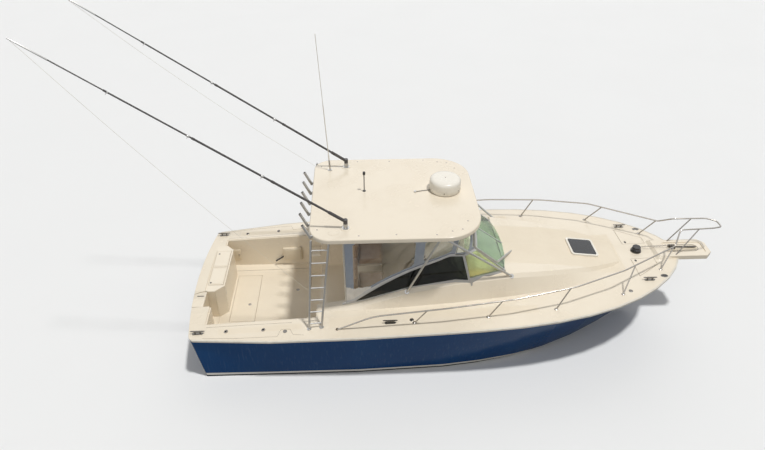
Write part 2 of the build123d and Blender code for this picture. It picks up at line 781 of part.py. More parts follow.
with BuildPart() as hardtop:
    with BuildSketch(Plane.XY.offset(hardtop_z - 200)) as outline:
        with BuildLine():
            Polyline((hardtop_aft_x, -hardtop_half_width), (hardtop_front_x, -hardtop_half_width),
                     (hardtop_front_x, hardtop_half_width), (hardtop_aft_x, hardtop_half_width), close=True)
        make_face()
        fillet(outline.vertices().group_by(Axis.X)[0], 340)
        fillet(outline.vertices().group_by(Axis.X)[-1], 640)
    extrude(amount=400)
    with BuildSketch(Plane.YZ) as crowned:
        with Locations((0, hardtop_z - crown_radius)):
            Circle(crown_radius)
            Circle(crown_radius - hardtop_thickness, mode=Mode.SUBTRACT)
        with Locations((0, hardtop_z)):
            Rectangle(3000, 600, mode=Mode.INTERSECT)
    extrude(crowned.sketch, amount=4000, both=True, mode=Mode.INTERSECT)
    fillet(hardtop.edges().group_by(Axis.Z)[-1], 20)
save(hardtop.part, "hardtop")


# Enclosure curtains between the windshield's top edge and the hardtop
curtain_thickness = 4
curtain_top_y = 1190
curtain_top_z = hardtop_top(curtain_top_y) - hardtop_thickness - seat_gap
curtain_gap = 3
side_sections = []
upper_edge = ThreePointArc(*glass_arc)
curtain_feet = [Vector(-1700, 1160)] + [upper_edge @ (i / 8) for i in range(9)] + [Vector(180, 2075)]
for foot in curtain_feet:
    foot_y = side_y(foot.X, foot.Y)
    foot_z = foot.Y + curtain_gap
    half = curtain_thickness / 2
    side_sections.append((foot.X, [(foot_y - half, foot_z), (foot_y + half, foot_z),
                                   (curtain_top_y + half, curtain_top_z),
                                   (curtain_top_y - half, curtain_top_z)]))
front_low_z = 2078 + curtain_gap
front_low = closed_strip([(184, 882, 0, 1), (330, 887, 0, 1), (540, 712, 0.66, 0.75), (612, 0, 1, 0)],
                         curtain_thickness)
front_high = closed_strip([(184, curtain_top_y, 0, 1), (250, 1150, 0.4, 0.9), (400, 840, 0.8, 0.6),
                           (500, 0, 1, 0)],
                          curtain_thickness)
with BuildPart() as enclosure_curtains:
    add(loft_rows(side_sections))
    mirror(about=Plane.XZ)
    add(strip_wall(front_low_z, front_low, curtain_top_z, front_high))
save(enclosure_curtains.part, "enclosure_curtains")

# Hardtop frame: a ladder at each aft corner, V struts and a front brace to starboard
ladder_feet = [(-2330, 1500), (-2120, 1480)]
ladder_heads = [(-2215, 1245), (-1925, 1240)]
ladder_rungs = 7
rung_radius = 12
rung_low = 1130
rung_pitch = 232
strut_head = (-120, 1235)
strut_feet = [(-640, 1040, 1400), (1200, 905, 1584)]
pad_radius = 40
under_top = hardtop_z - 70


def along(low, high, z):
    """The point at height z on a straight leg."""
    share = (z - low[2]) / (high[2] - low[2])
    return Vector(*[a + share * (b - a) for a, b in zip(low, high)])


with BuildPart() as hardtop_frame:
    legs = []
    for foot, head in zip(ladder_feet, ladder_heads):
        low = (*foot, deck_z(*foot) - 10)
        high = (*head, under_top)
        legs.append((low, high))
        add(tube([low, high], tube_radius))
        with BuildSketch(Plane.XY.offset(deck_z(*foot) - 6)):
            with Locations(foot):
                Circle(pad_radius)
        extrude(amount=14)
    for i in range(ladder_rungs):
        z = rung_low + i * rung_pitch
        add(tube([along(*legs[0], z), along(*legs[1], z)], rung_radius))
    for foot in strut_feet:
        add(tube([foot, (*strut_head, under_top)], tube_radius))
        with BuildSketch(Plane(origin=foot, z_dir=(0, 0.707, 0.707)).offset(-8)):
            Circle(pad_radius)
        extrude(amount=16)
    mirror(about=Plane.XZ)
    add(tube([(430, -1000, under_top), (475, -980, 2300), (920, -850, 1860), (1340, -200, 1600)],
             tube_radius, 120))
    add(deck.part, mode=Mode.SUBTRACT)
    add(hardtop.part, mode=Mode.SUBTRACT)
save(hardtop_frame.part, "hardtop_frame")

# Rod launchers along the hardtop's aft edge
launcher_first_y = -1150
launcher_pitch = 330
launcher_count = 6
launcher_rake = 25
launcher_low_z = 2680
launcher_planes = []
for i in range(launcher_count):
    y = launcher_first_y + i * launcher_pitch
    inset = max(0, abs(y) - (hardtop_half_width - 340))
    edge_x = hardtop_aft_x + 340 - (340 ** 2 - inset ** 2) ** 0.5
    launcher_planes.append(Plane(origin=(edge_x - 30, y, launcher_low_z), x_dir=(0, 1, 0),
                                 z_dir=(-sin(radians(launcher_rake)), 0, cos(radians(launcher_rake)))))
with BuildPart() as rod_launchers:
    for plane in launcher_planes:
        with BuildSketch(plane):
            Circle(holder_radius)
        extrude(amount=launcher_length)
        origin = plane.origin
        add(block(origin.X - 30, origin.X + 60, origin.Y - 14, origin.Y + 14, launcher_low_z + 20,
                  launcher_low_z + 52))
    for plane in launcher_planes:
        with BuildSketch(plane.offset(30)):
            Circle(holder_bore)
        extrude(amount=launcher_length, mode=Mode.SUBTRACT)
    add(hardtop.part, mode=Mode.SUBTRACT)
save(rod_launchers.part, "rod_launchers")

# Radar dome, its lead and the gland where the lead goes through the hardtop
radar_place = (80, 110)
lead_radius = 6
lead_z = hardtop_z + lead_radius + 1
gland_place = (-450, 32)
with BuildPart() as radar_dome:
    with BuildSketch(Plane(origin=(*radar_place, 0), x_dir=(1, 0, 0), z_dir=(0, -1, 0))):
        with BuildLine():
            dome_low = hardtop_z - 12
            shoulder = (radar_diameter / 2, hardtop_z + 115)
            Polyline((0, dome_low), (200, dome_low), (200, hardtop_z + 26),
                     (radar_diameter / 2 - 25, hardtop_z + 50),
                     shoulder)
            crown = ThreePointArc(shoulder, (210, hardtop_z + 205), (10, hardtop_z + radar_height))
            Polyline(crown @ 1, (0, hardtop_z + radar_height), (0, dome_low))
        make_face()
    revolve(axis=Axis((*radar_place, 0), (0, 0, 1)))
    add(hardtop.part, mode=Mode.SUBTRACT)
save(radar_dome.part, "radar_dome")

# Fittings on the hardtop: lead gland, whip hinge and outrigger pedestals
whip_place = (-1960, 880)
whip_foot_z = hardtop_top(whip_place[1])
whip_pivot_z = whip_foot_z + 55
whip_hub_radius = 14
whip_hub_half = 13
ear_thickness = 7
outrigger_foot_z = hardtop_top(outrigger_y)
pedestal_radius = 36
pedestal_height = 92
spindle_radius = 12
spindle_height = 58
with BuildPart() as hardtop_fittings:
    with BuildSketch(Plane.XY.offset(hardtop_z - 30)):
        with Locations(gland_place):
            Circle(24)
    extrude(amount=52)
    with BuildSketch(Plane.XY.offset(whip_foot_z - 20)):
        with Locations(whip_place):
            Circle(42)
    extrude(amount=30)
    for side in (-1, 1):
        inner_y = whip_place[1] + side * (whip_hub_half + 1)
        outer_y = inner_y + side * ear_thickness
        add(block(whip_place[0] - 13, whip_place[0] + 13, min(inner_y, outer_y), max(inner_y, outer_y),
                  whip_foot_z, whip_pivot_z + 13))
    with BuildSketch(Plane.XZ.offset(-whip_place[1] - whip_hub_half - 4)):
        with Locations((whip_place[0], whip_pivot_z)):
            Circle(pin_radius)
    extrude(amount=2 * whip_hub_half + 8)
    for side in (-1, 1):
        for radius, low, high in ((60, -20, 12), (pedestal_radius, 0, pedestal_height),
                                  (spindle_radius, pedestal_height, pedestal_height + spindle_height)):
            with BuildSketch(Plane.XY.offset(outrigger_foot_z + low)):
                with Locations((outrigger_x, side * outrigger_y)):
                    Circle(radius)
            extrude(amount=high - low)
    add(hardtop.part, mode=Mode.SUBTRACT)
save(hardtop_fittings.part, "hardtop_fittings")

with BuildPart() as radar_cable:
    add(tube([(radar_place[0] - 180, 95, lead_z), (-270, 78, lead_z),
              (gland_place[0] + 5, gland_place[1], lead_z)],
             lead_radius, 150))
    add(radar_dome.part, mode=Mode.SUBTRACT)
    add(hardtop_fittings.part, mode=Mode.SUBTRACT)
save(radar_cable.part, "radar_cable")

# Satellite antenna: flange, stem and mushroom head
gps_place = (-1340, 100)
with BuildPart() as gps_antenna:
    with BuildSketch(Plane(origin=(*gps_place, 0), x_dir=(1, 0, 0), z_dir=(0, -1, 0))):
        with BuildLine():
            Polyline((0, hardtop_z - 10), (42, hardtop_z - 10), (42, hardtop_z + 8), (13, hardtop_z + 14),
                     (13, hardtop_z + 310), (46, hardtop_z + 322), (50, hardtop_z + 345))
            cap = ThreePointArc((50, hardtop_z + 345), (36, hardtop_z + 380), (5, hardtop_z + 398))
            Polyline(cap @ 1, (0, hardtop_z + 398), (0, hardtop_z - 10))
        make_face()
    revolve(axis=Axis((*gps_place, 0), (0, 0, 1)))
    add(hardtop.part, mode=Mode.SUBTRACT)
save(gps_antenna.part, "gps_antenna")

# Whip antenna on a fold-down hinge
whip_lean = 3
whip_direction = Vector(-sin(radians(whip_lean)), 0, cos(radians(whip_lean)))
whip_pivot = Vector(*whip_place, whip_pivot_z)
with BuildPart() as vhf_whip:
    with BuildSketch(Plane(origin=whip_pivot, z_dir=(0, 1, 0)).offset(-whip_hub_half)):
        Circle(whip_hub_radius)
    extrude(amount=2 * whip_hub_half)
    for radius, low, high in ((12, 0, 260), (8, 250, whip_length * 0.5),
                              (5, whip_length * 0.5, whip_length)):
        with BuildSketch(Plane(origin=whip_pivot + whip_direction * low, z_dir=whip_direction)):
            Circle(radius)
        extrude(amount=high - low)
    with BuildSketch(Plane(origin=whip_pivot, z_dir=(0, 1, 0)).offset(-whip_hub_half)):
        Circle(pin_radius + running_gap)
    extrude(amount=2 * whip_hub_half, mode=Mode.SUBTRACT)
save(vhf_whip.part, "vhf_whip")

# Outriggers: stepped poles in sockets that turn on the pedestals' spindles
pole_radii = (19, 16, 12.5, 9.5)
socket_length = 320
outrigger_direction = Vector(-cos(radians(outrigger_elevation)), 0, sin(radians(outrigger_elevation)))
head_low_z = outrigger_foot_z + pedestal_height + seat_gap
head_height = 78
for name, side in (("outrigger_port", 1), ("outrigger_starboard", -1)):
    with BuildPart() as outrigger:
        root = Vector(outrigger_x, side * outrigger_y, head_low_z + 40)
        with BuildSketch(Plane.XY.offset(head_low_z)):
            with Locations((outrigger_x, side * outrigger_y)):
                Circle(pedestal_radius)
        extrude(amount=head_height)
        with BuildSketch(Plane(origin=root, z_dir=outrigger_direction)):
            Circle(27)
        extrude(amount=socket_length)
        step = outrigger_length / len(pole_radii)
        for i, radius in enumerate(pole_radii):
            with BuildSketch(Plane(origin=root + outrigger_direction * (i * step),
                                   z_dir=outrigger_direction)):
                Circle(radius)
            extrude(amount=step)
            if i:
                with BuildSketch(Plane(origin=root + outrigger_direction * (i * step - 25),
                                       z_dir=outrigger_direction)):
                    Circle(pole_radii[i - 1] + 3)
                extrude(amount=50)
        with BuildSketch(Plane.XY.offset(head_low_z - 1)):
            with Locations((outrigger_x, side * outrigger_y)):
                Circle(spindle_radius + running_gap)
        extrude(amount=spindle_height + 3, mode=Mode.SUBTRACT)
    save(outrigger.part, name)

# Cleats and the fuel fill
cleat_places = [(-4240, 1435), (-950, 1490), (3740, 820)]
with BuildPart() as deck_hardware:
    for x, y in cleat_places:
        low = deck_z(x, y)
        with BuildSketch(Plane.XY.offset(low - 10)):
            with Locations((x, y)):
                SlotOverall(190, 52)
        extrude(amount=17)
        with BuildSketch(Plane.XY.offset(low)):
            with Locations((x - 45, y), (x + 45, y)):
                Circle(13)
        extrude(amount=45)
        with BuildSketch(Plane.XZ.offset(-y)):
            with BuildLine():
                back = ThreePointArc((x - 125, low + 56), (x, low + 40), (x + 125, low + 56))
                Polyline(back @ 1, (x + 110, low + 62), (x - 110, low + 62), back @ 0)
            make_face()
        extrude(amount=10, both=True)
    mirror(about=Plane.XZ)
    with BuildSketch(Plane.XY.offset(deck_z(-2740, 1520) - 10)):
        with Locations((-2740, -1520)):
            Circle(36)
    extrude(amount=15)
    add(deck.part, mode=Mode.SUBTRACT)

# Flush rod holders in the gunwales
with BuildPart() as rod_holders:
    for plane in holder_planes:
        with BuildSketch(plane.offset(6)):
            Circle(holder_radius)
        extrude(amount=-6 - holder_length + 1)
        with BuildSketch(plane.offset(-14)):
            Circle(holder_radius + 14)
        extrude(amount=20)
    add(deck.part, mode=Mode.SUBTRACT)
    for plane in holder_planes:
        with BuildSketch(plane.offset(7)):
            Circle(holder_bore)
        extrude(amount=-7 - holder_length + 12, mode=Mode.SUBTRACT)
save(rod_holders.part, "rod_holders")

# Bow rail with raked stanchions, rising to the pulpit
rail_side = [(-1850, 1555, 1045), (-1250, 1600, 1360), (0, 1600, 1500), (1200, 1530, 1610),
             (2200, 1360, 1690),
             (3100, 1060, 1770), (4270, 400, 1770), (4410, 180, 1970), (5040, 160, 1980), (5215, 90, 1955)]
rail_bends = [900, 1500, 1500, 1500, 700, 90, 90, 400, 75]
stanchion_radius = 11
stanchions = [(-540, 1520), (720, 1500), (1900, 1420), (3150, 1150), (4040, 560)]
stanchion_rake = 200
pulpit_top_z = 1432
pulpit_low_z = 1345


def rail_point(x):
    return (x, between([(p[0], p[1]) for p in rail_side], x), between([(p[0], p[2]) for p in rail_side], x))


with BuildPart() as bow_rail:
    rail_points = rail_side + [(x, -y, z) for x, y, z in reversed(rail_side)]
    with BuildLine() as rail_path:
        FilletPolyline(*rail_points, radius=rail_bends + rail_bends[::-1])
    with BuildSketch(Plane(origin=rail_path.line @ 0, z_dir=rail_path.line % 0)):
        Circle(rail_radius)
    sweep(path=rail_path.line)
    for side in (1, -1):
        for x, y in stanchions:
            head = rail_point(x + stanchion_rake)
            foot = (x, side * y, deck_z(x, y) - 6)
            add(tube([foot, (head[0], side * head[1], head[2])], stanchion_radius))
            with BuildSketch(Plane.XY.offset(foot[2] - 4)):
                with Locations((x, side * y)):
                    Circle(30)
            extrude(amount=16)
        add(tube([(4450, side * 215, pulpit_top_z - 10), (4760, side * 170, 1974)], stanchion_radius))
        with BuildSketch(Plane.XY.offset(deck_z(-1850, 1555) - 10)):
            with Locations((-1850, side * 1555)):
                Circle(30)
        extrude(amount=16)
    add(deck.part, mode=Mode.SUBTRACT)

# Pulpit: a moulded platform over the stem with a channel for the anchor line
with BuildPart() as pulpit:
    with BuildSketch(Plane.XY.offset(pulpit_low_z)) as outline:
        with BuildLine():
            Polyline((pulpit_root_x, -pulpit_half_width), (pulpit_tip_x - 110, -pulpit_half_width),
                     (pulpit_tip_x, -pulpit_half_width + 110), (pulpit_tip_x, pulpit_half_width - 110),
                     (pulpit_tip_x - 110, pulpit_half_width), (pulpit_root_x, pulpit_half_width), close=True)
        make_face()
        fillet(outline.vertices().group_by(Axis.X)[0], 60)
    extrude(amount=pulpit_top_z - pulpit_low_z)
    fillet(pulpit.faces().sort_by(Axis.Z)[-1].edges(), 12)
    with BuildSketch(Plane.XY.offset(pulpit_top_z)):
        with Locations(((4300 + pulpit_tip_x - 90) / 2, 0)):
            RectangleRounded(pulpit_tip_x - 90 - 4300, 330, 60)
    extrude(amount=-14, mode=Mode.SUBTRACT)
    for body in (hull, deck, rub_rail, bow_rail):
        add(body.part, mode=Mode.SUBTRACT)
save(pulpit.part, "pulpit")
with BuildPart() as bow_rail_trimmed:
    add(bow_rail.part)
    add(pulpit.part, mode=Mode.SUBTRACT)
save(bow_rail_trimmed.part, "bow_rail")

# Anchor gear: windlass gearbox and the bow roller's cheeks, with the parts that turn on them
windlass_x = 3780
windlass_low = deck_z(windlass_x, 0)
windlass_case = 34
roller_x = 4450
roller_radius = 28
roller_half = 34
channel_z = pulpit_top_z - 14
roller_z = channel_z + roller_radius + 14
with BuildPart() as deck_fittings:
    add(deck_hardware.part)
    for radius, low, high in ((100, -15, 12), (72, 0, windlass_case),
                              (spindle_radius, 0, windlass_case + 62)):
        with BuildSketch(Plane.XY.offset(windlass_low + low)):
            with Locations((windlass_x, 0)):
                Circle(radius)
        extrude(amount=high - low)
    add(deck.part, mode=Mode.SUBTRACT)
    for side in (-1, 1):
        inner_y = side * (roller_half + 1)
        outer_y = side * (roller_half + 7)
        add(block(roller_x - 60, roller_x + 60, min(inner_y, outer_y), max(inner_y, outer_y), channel_z,
                  roller_z + 20))
    with BuildSketch(Plane.XZ.offset(-roller_half - 4)):
        with Locations((roller_x, roller_z)):
            Circle(pin_radius)
    extrude(amount=2 * roller_half + 8)
save(deck_fittings.part, "deck_hardware")
with BuildPart() as windlass_drum:
    with BuildSketch(Plane(origin=(windlass_x, 0, windlass_low + windlass_case + seat_gap), x_dir=(1, 0, 0),
                           z_dir=(0, -1, 0))):
        with BuildLine():
            waist = ThreePointArc((85, 12), (62, 34), (76, 56))
            Polyline(waist @ 1, (70, 66), (spindle_radius + running_gap, 66),
                     (spindle_radius + running_gap, 0),
                     (85, 0), waist @ 0)
        make_face()
    revolve(axis=Axis((windlass_x, 0, 0), (0, 0, 1)))
save(windlass_drum.part, "windlass_drum")
with BuildPart() as bow_roller:
    with BuildSketch(Plane(origin=(roller_x, 0, roller_z), x_dir=(1, 0, 0), z_dir=(0, 0, 1))):
        with BuildLine():
            groove = ThreePointArc((roller_radius, -roller_half), (16, 0), (roller_radius, roller_half))
            Polyline(groove @ 1, (pin_radius + running_gap, roller_half),
                     (pin_radius + running_gap, -roller_half),
                     groove @ 0)
        make_face()
    revolve(axis=Axis((roller_x, 0, roller_z), (0, 1, 0)))
save(bow_roller.part, "bow_roller")

# Foredeck hatch: moulded rim and a tinted lid hinged forward
rim_height = 27
lid_glass = 14
with BuildPart() as foredeck_hatch_frame:
    with BuildSketch(hatch_plane.offset(-30)):
        RectangleRounded(hatch_side + 30, hatch_side + 30, 55)
        Rectangle(hatch_side - 90, hatch_side - 90, mode=Mode.SUBTRACT)
    extrude(amount=30 + rim_height)
    with BuildSketch(hatch_plane.offset(rim_height - lid_glass)):
        RectangleRounded(hatch_side - 40, hatch_side - 40, 35)
    extrude(amount=40, mode=Mode.SUBTRACT)
    add(deck.part, mode=Mode.SUBTRACT)
save(foredeck_hatch_frame.part, "foredeck_hatch_frame")
with BuildPart() as foredeck_hatch:
    with BuildSketch(hatch_plane.offset(rim_height - lid_glass + seat_gap)):
        RectangleRounded(hatch_side - 40 - 2 * seam, hatch_side - 40 - 2 * seam, 30)
    extrude(amount=lid_glass)
save(foredeck_hatch.part, "foredeck_hatch")

# Anchor locker lids, cut from the deck's own surface
with BuildPart() as anchor_lids:
    add(deck_skin)
    add(anchor_pocket(seam, 1200, 1600), mode=Mode.INTERSECT)
for name, index in (("anchor_lid_starboard", 0), ("anchor_lid_port", -1)):
    with BuildPart() as anchor_lid:
        add(anchor_lids.solids().sort_by(Axis.Y)[index])
    save(anchor_lid.part, name)

# Engines: one plain block each, at their real size and place
with BuildPart() as engines:
    for side in (-1, 1):
        add(block(engine_aft_x, engine_aft_x + engine_length, side * engine_y - engine_width / 2,
                  side * engine_y + engine_width / 2, -140 + seat_gap, -140 + engine_height))
save(engines.part, "engines")

# Running gear: shaft logs, brackets and rudder bosses under the hull
bearing_radius = 44
bearing_at = 330
log_at = 1350
boss_low_z = -395
with BuildPart() as running_gear:
    for side in (-1, 1):
        hub = Vector(propeller_x, side * shaft_y, propeller_z)
        for start, length, radius in ((bearing_at, 190, bearing_radius), (log_at, 700, 36)):
            with BuildSketch(Plane(origin=hub + shaft_direction * start, z_dir=shaft_direction)):
                Circle(radius)
            extrude(amount=length)
        arm_x = propeller_x + bearing_at
        with BuildSketch(Plane.XY.offset(propeller_z + 75)):
            with Locations((arm_x + 95, side * shaft_y)):
                SlotOverall(130, 24)
        extrude(amount=320)
        with BuildSketch(Plane.XY.offset(boss_low_z)):
            with Locations((rudder_x, side * shaft_y)):
                Circle(40)
        extrude(amount=200)
        with BuildSketch(Plane(origin=hub, z_dir=shaft_direction)):
            Circle(shaft_radius + running_gap)
        extrude(amount=2400, mode=Mode.SUBTRACT)
        with BuildSketch(Plane.XY.offset(boss_low_z - 10)):
            with Locations((rudder_x, side * shaft_y)):
                Circle(rudder_stock_radius + running_gap)
        extrude(amount=400, mode=Mode.SUBTRACT)
    add(hull.part, mode=Mode.SUBTRACT)
save(running_gear.part, "running_gear")

# Propellers: four pitched blades on a hub, with the shaft that carries them
blade_count = 4
blade_rows = [(30, 105, 62, 20), (90, 150, 44, 14), (150, 150, 33, 9), (propeller_radius - 3, 70, 27, 5)]
with BuildPart() as blade:
    for radius, chord, pitch, thickness in blade_rows:
        with BuildSketch(Plane.XY.offset(radius).rotated((0, 0, -pitch))):
            Ellipse(thickness / 2, chord / 2)
    loft()
with BuildPart() as propeller:
    with BuildSketch(Plane.YZ.offset(-75)):
        Circle(44)
    extrude(amount=150)
    with BuildSketch(Plane.YZ.offset(-110)):
        Circle(20)
    extrude(amount=40)
    for i in range(blade_count):
        add(blade.part.rotate(Axis.X, 360 / blade_count * i))
    with BuildSketch(Plane.YZ.offset(-100)):
        Circle(shaft_radius)
    extrude(amount=100 + shaft_length)
shaft_plane = Plane(origin=(propeller_x, -shaft_y, propeller_z), x_dir=shaft_direction,
                    z_dir=(-shaft_direction.Z, 0, shaft_direction.X))
propeller_starboard = shaft_plane.location * propeller.part
save(propeller_starboard, "propeller_starboard")
propeller_port = propeller_starboard.mirror(Plane.XZ)
save(propeller_port, "propeller_port")

# Rudders: foil blades on stocks that turn in the bosses
rudder_top_z = -405
rudder_low_z = -760
rudder_chord = 300
for name, side in (("rudder_port", 1), ("rudder_starboard", -1)):
    with BuildPart() as rudder:
        with BuildSketch(Plane.XY.offset(rudder_low_z)) as outline:
            with BuildLine():
                nose_x = rudder_x + 0.33 * rudder_chord
                nose = ThreePointArc((nose_x - 70, side * shaft_y + 17), (nose_x, side * shaft_y),
                                     (nose_x - 70, side * shaft_y - 17))
                Polyline(nose @ 1, (nose_x - rudder_chord, side * shaft_y - 3),
                         (nose_x - rudder_chord, side * shaft_y + 3), nose @ 0)
            make_face()
        extrude(amount=rudder_top_z - rudder_low_z)
        with BuildSketch(Plane.XY.offset(rudder_low_z + 60)):
            with Locations((rudder_x, side * shaft_y)):
                Circle(rudder_stock_radius)
        extrude(amount=rudder_shelf_z - rudder_low_z - 62)
    save(rudder.part, name)
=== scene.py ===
import math

import bpy
from mathutils import Matrix, Vector, noise
from mathutils.bvhtree import BVHTree


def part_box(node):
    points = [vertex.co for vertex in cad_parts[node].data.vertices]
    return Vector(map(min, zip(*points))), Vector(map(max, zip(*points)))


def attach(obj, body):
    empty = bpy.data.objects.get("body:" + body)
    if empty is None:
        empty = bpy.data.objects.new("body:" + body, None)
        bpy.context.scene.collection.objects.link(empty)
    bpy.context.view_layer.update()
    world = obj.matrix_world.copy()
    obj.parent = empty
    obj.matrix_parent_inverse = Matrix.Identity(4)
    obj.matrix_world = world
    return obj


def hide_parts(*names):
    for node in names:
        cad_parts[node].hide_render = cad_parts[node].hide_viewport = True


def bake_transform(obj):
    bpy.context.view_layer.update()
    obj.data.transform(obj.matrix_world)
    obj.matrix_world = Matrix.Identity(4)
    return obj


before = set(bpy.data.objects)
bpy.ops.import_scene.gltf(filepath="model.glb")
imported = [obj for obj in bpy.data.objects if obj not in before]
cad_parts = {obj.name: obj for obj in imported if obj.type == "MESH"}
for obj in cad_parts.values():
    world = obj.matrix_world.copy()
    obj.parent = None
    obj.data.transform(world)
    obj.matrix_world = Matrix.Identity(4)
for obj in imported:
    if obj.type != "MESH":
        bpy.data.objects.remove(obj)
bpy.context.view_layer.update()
bpy.ops.object.select_all(action="DESELECT")

# Camera, at the picture's own angle
camera = {
    "place": (-1.424, -9.485, 8.745),
    "lens": 30.22,
    "sensor": 36,
    "downwards": 34.984,
    "turn": -2.427,
    "tilt": 0.117,
}
eye = bpy.data.objects.new("camera", bpy.data.cameras.new("camera"))
bpy.context.scene.collection.objects.link(eye)
eye.data.lens = camera["lens"]
eye.data.sensor_width = camera["sensor"]
eye.data.clip_end = 500
eye.matrix_world = (
    Matrix.Translation(camera["place"])
    @ Matrix.Rotation(math.radians(camera["turn"]), 4, "Z")
    @ Matrix.Rotation(math.radians(90 - camera["downwards"]), 4, "X")
    @ Matrix.Rotation(math.radians(camera["tilt"]), 4, "Z")
)
bpy.context.scene.camera = eye
bpy.context.scene.view_settings.view_transform = "Standard"
print("camera set")


# Cords first: the radar's lead; the halyards follow once their helpers are there
def cordPiece(name, points, diameter, body, finish):
    curve = bpy.data.curves.new(name, "CURVE")
    curve.dimensions = "3D"
    curve.bevel_depth = diameter / 2
    curve.bevel_resolution = 4
    curve.use_fill_caps = True
    spline = curve.splines.new("NURBS")
    spline.points.add(len(points) - 1)
    for point, place in zip(spline.points, points):
        point.co = (*place, 1)
    spline.order_u = 3
    spline.use_endpoint_u = True
    spline.resolution_u = 12
    piece = bpy.data.objects.new(name, curve)
    bpy.context.scene.collection.objects.link(piece)
    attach(piece, body)
    finishLater.append((piece, finish))
    return piece


def cordLength(piece):
    curve = piece.data.copy()
    curve.bevel_depth = 0
    probe = bpy.data.objects.new("probe", curve)
    line = bpy.data.meshes.new_from_object(probe)
    ends = [vertex.co for vertex in line.vertices]
    length = sum((b - a).length for a, b in zip(ends, ends[1:]))
    bpy.data.objects.remove(probe)
    bpy.data.meshes.remove(line)
    bpy.data.curves.remove(curve)
    return length


finishLater = []
radarLead = {
    "points": [(-0.100, 0.095, 2.777), (-0.270, 0.078, 2.777), (-0.445, 0.032, 2.777)],
    "diameter": 0.012,
    "length": 0.352,
}
lead = cordPiece("radar_lead", radarLead["points"], radarLead["diameter"], "boat", "cableJacket")
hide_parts("radar_cable")
print("cords laid", round(cordLength(lead), 4))


# Helpers for pieces
def link(piece):
    bpy.context.scene.collection.objects.link(piece)
    return piece


def only(piece):
    bpy.ops.object.select_all(action="DESELECT")
    piece.select_set(True)
    bpy.context.view_layer.objects.active = piece


def closeUp():
    bpy.ops.object.mode_set(mode="OBJECT")


def roundedBlock(centre, size, edge=0.004, turn=(0, 0, 0)):
    bpy.ops.mesh.primitive_cube_add(size=1, location=centre)
    piece = bpy.context.object
    piece.scale = size
    bpy.ops.object.transform_apply(location=False, rotation=False, scale=True)
    bpy.ops.object.mode_set(mode="EDIT")
    bpy.ops.mesh.bevel(offset=min(edge, min(size) * 0.45), segments=3, affect="EDGES")
    closeUp()
    piece.rotation_euler = [math.radians(angle) for angle in turn]
    return piece


def turnedPiece(centre, rings, axis=(0, 0, 1), sides=28):
    # a round piece from its (radius, height) rings, extruded from the lowest up
    radius, height = rings[0]
    bpy.ops.mesh.primitive_circle_add(vertices=sides, radius=radius, fill_type="NGON", location=(0, 0, 0))
    piece = bpy.context.object
    bpy.ops.object.mode_set(mode="EDIT")
    bpy.ops.mesh.select_all(action="SELECT")
    bpy.ops.transform.translate(value=(0, 0, height))
    for nextRadius, nextHeight in rings[1:]:
        bpy.ops.mesh.extrude_region_move(TRANSFORM_OT_translate={"value": (0, 0, nextHeight - height)})
        share = nextRadius / radius
        bpy.ops.transform.resize(value=(share, share, 1))
        radius, height = nextRadius, nextHeight
    bpy.ops.mesh.select_all(action="SELECT")
    bpy.ops.mesh.normals_make_consistent(inside=False)
    closeUp()
    turn = Vector((0, 0, 1)).rotation_difference(Vector(axis)).to_matrix().to_4x4()
    piece.matrix_world = Matrix.Translation(centre) @ turn
    return piece


def tubePiece(points, radius, smooth=False, closed=False, sides=3):
    curve = bpy.data.curves.new("tube", "CURVE")
    curve.dimensions = "3D"
    curve.bevel_depth = radius
    curve.bevel_resolution = sides
    curve.use_fill_caps = not closed
    spline = curve.splines.new("NURBS" if smooth else "POLY")
    spline.points.add(len(points) - 1)
    for point, place in zip(spline.points, points):
        point.co = (*place, 1)
    if smooth:
        spline.order_u = 3
        spline.use_endpoint_u = not closed
        spline.resolution_u = 6
    spline.use_cyclic_u = closed
    piece = link(bpy.data.objects.new("tube", curve))
    only(piece)
    bpy.ops.object.convert(target="MESH")
    return bpy.context.object


def ringPoints(centre, first, second, radius, count=16):
    # points round a centre, in the plane of two directions
    points = []
    for k in range(count):
        angle = math.tau * k / count
        points.append(centre + first * radius * math.cos(angle) + second * radius * math.sin(angle))
    return points


def joined(pieces):
    if len(pieces) == 1:
        return pieces[0]
    only(pieces[0])
    for piece in pieces:
        piece.select_set(True)
    bpy.ops.object.join()
    return bpy.context.object


def settle(pieces, name, body, finish, angle=35):
    # joins what belongs together, leaves it at the origin and gives it its name, finish and body
    pieces = pieces if isinstance(pieces, list) else [pieces]
    for piece in pieces:
        only(piece)
        bpy.ops.object.transform_apply(location=True, rotation=True, scale=True)
    piece = joined(pieces)
    only(piece)
    bpy.ops.object.shade_smooth_by_angle(angle=math.radians(angle))
    piece.name = name
    piece.data.name = name
    finishLater.append((piece, finish))
    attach(piece, body)
    return piece


surfaces = {}


def land(node, x, y, high=4.0, towards=(0, 0, -1)):
    # where a piece set down at x, y comes to rest on a CAD node
    if node not in surfaces:
        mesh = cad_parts[node].data
        corners = [vertex.co.copy() for vertex in mesh.vertices]
        surfaces[node] = BVHTree.FromPolygons(corners, [list(face.vertices) for face in mesh.polygons])
    place, normal, _, _ = surfaces[node].ray_cast(Vector((x, y, high)), Vector(towards))
    if place is None:
        raise ValueError(f"nothing of {node} under {x}, {y}")
    return place, normal


# Outriggers: guide rings and a pale tip on each pole
outrigger = {
    "root": (-1.660, 0.990, 2.882),
    "rings": [(0.285, 0.0185), (0.515, 0.015), (0.745, 0.012)],
    "tip": 0.90,
    "tipRadius": 0.0105,
}


def poleEnds(node, root):
    corners = [vertex.co.copy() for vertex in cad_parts[node].data.vertices]
    reach = max((corner - root).length for corner in corners)
    ends = [corner for corner in corners if (corner - root).length > reach - 0.02]
    return sum(ends, Vector()) / len(ends)

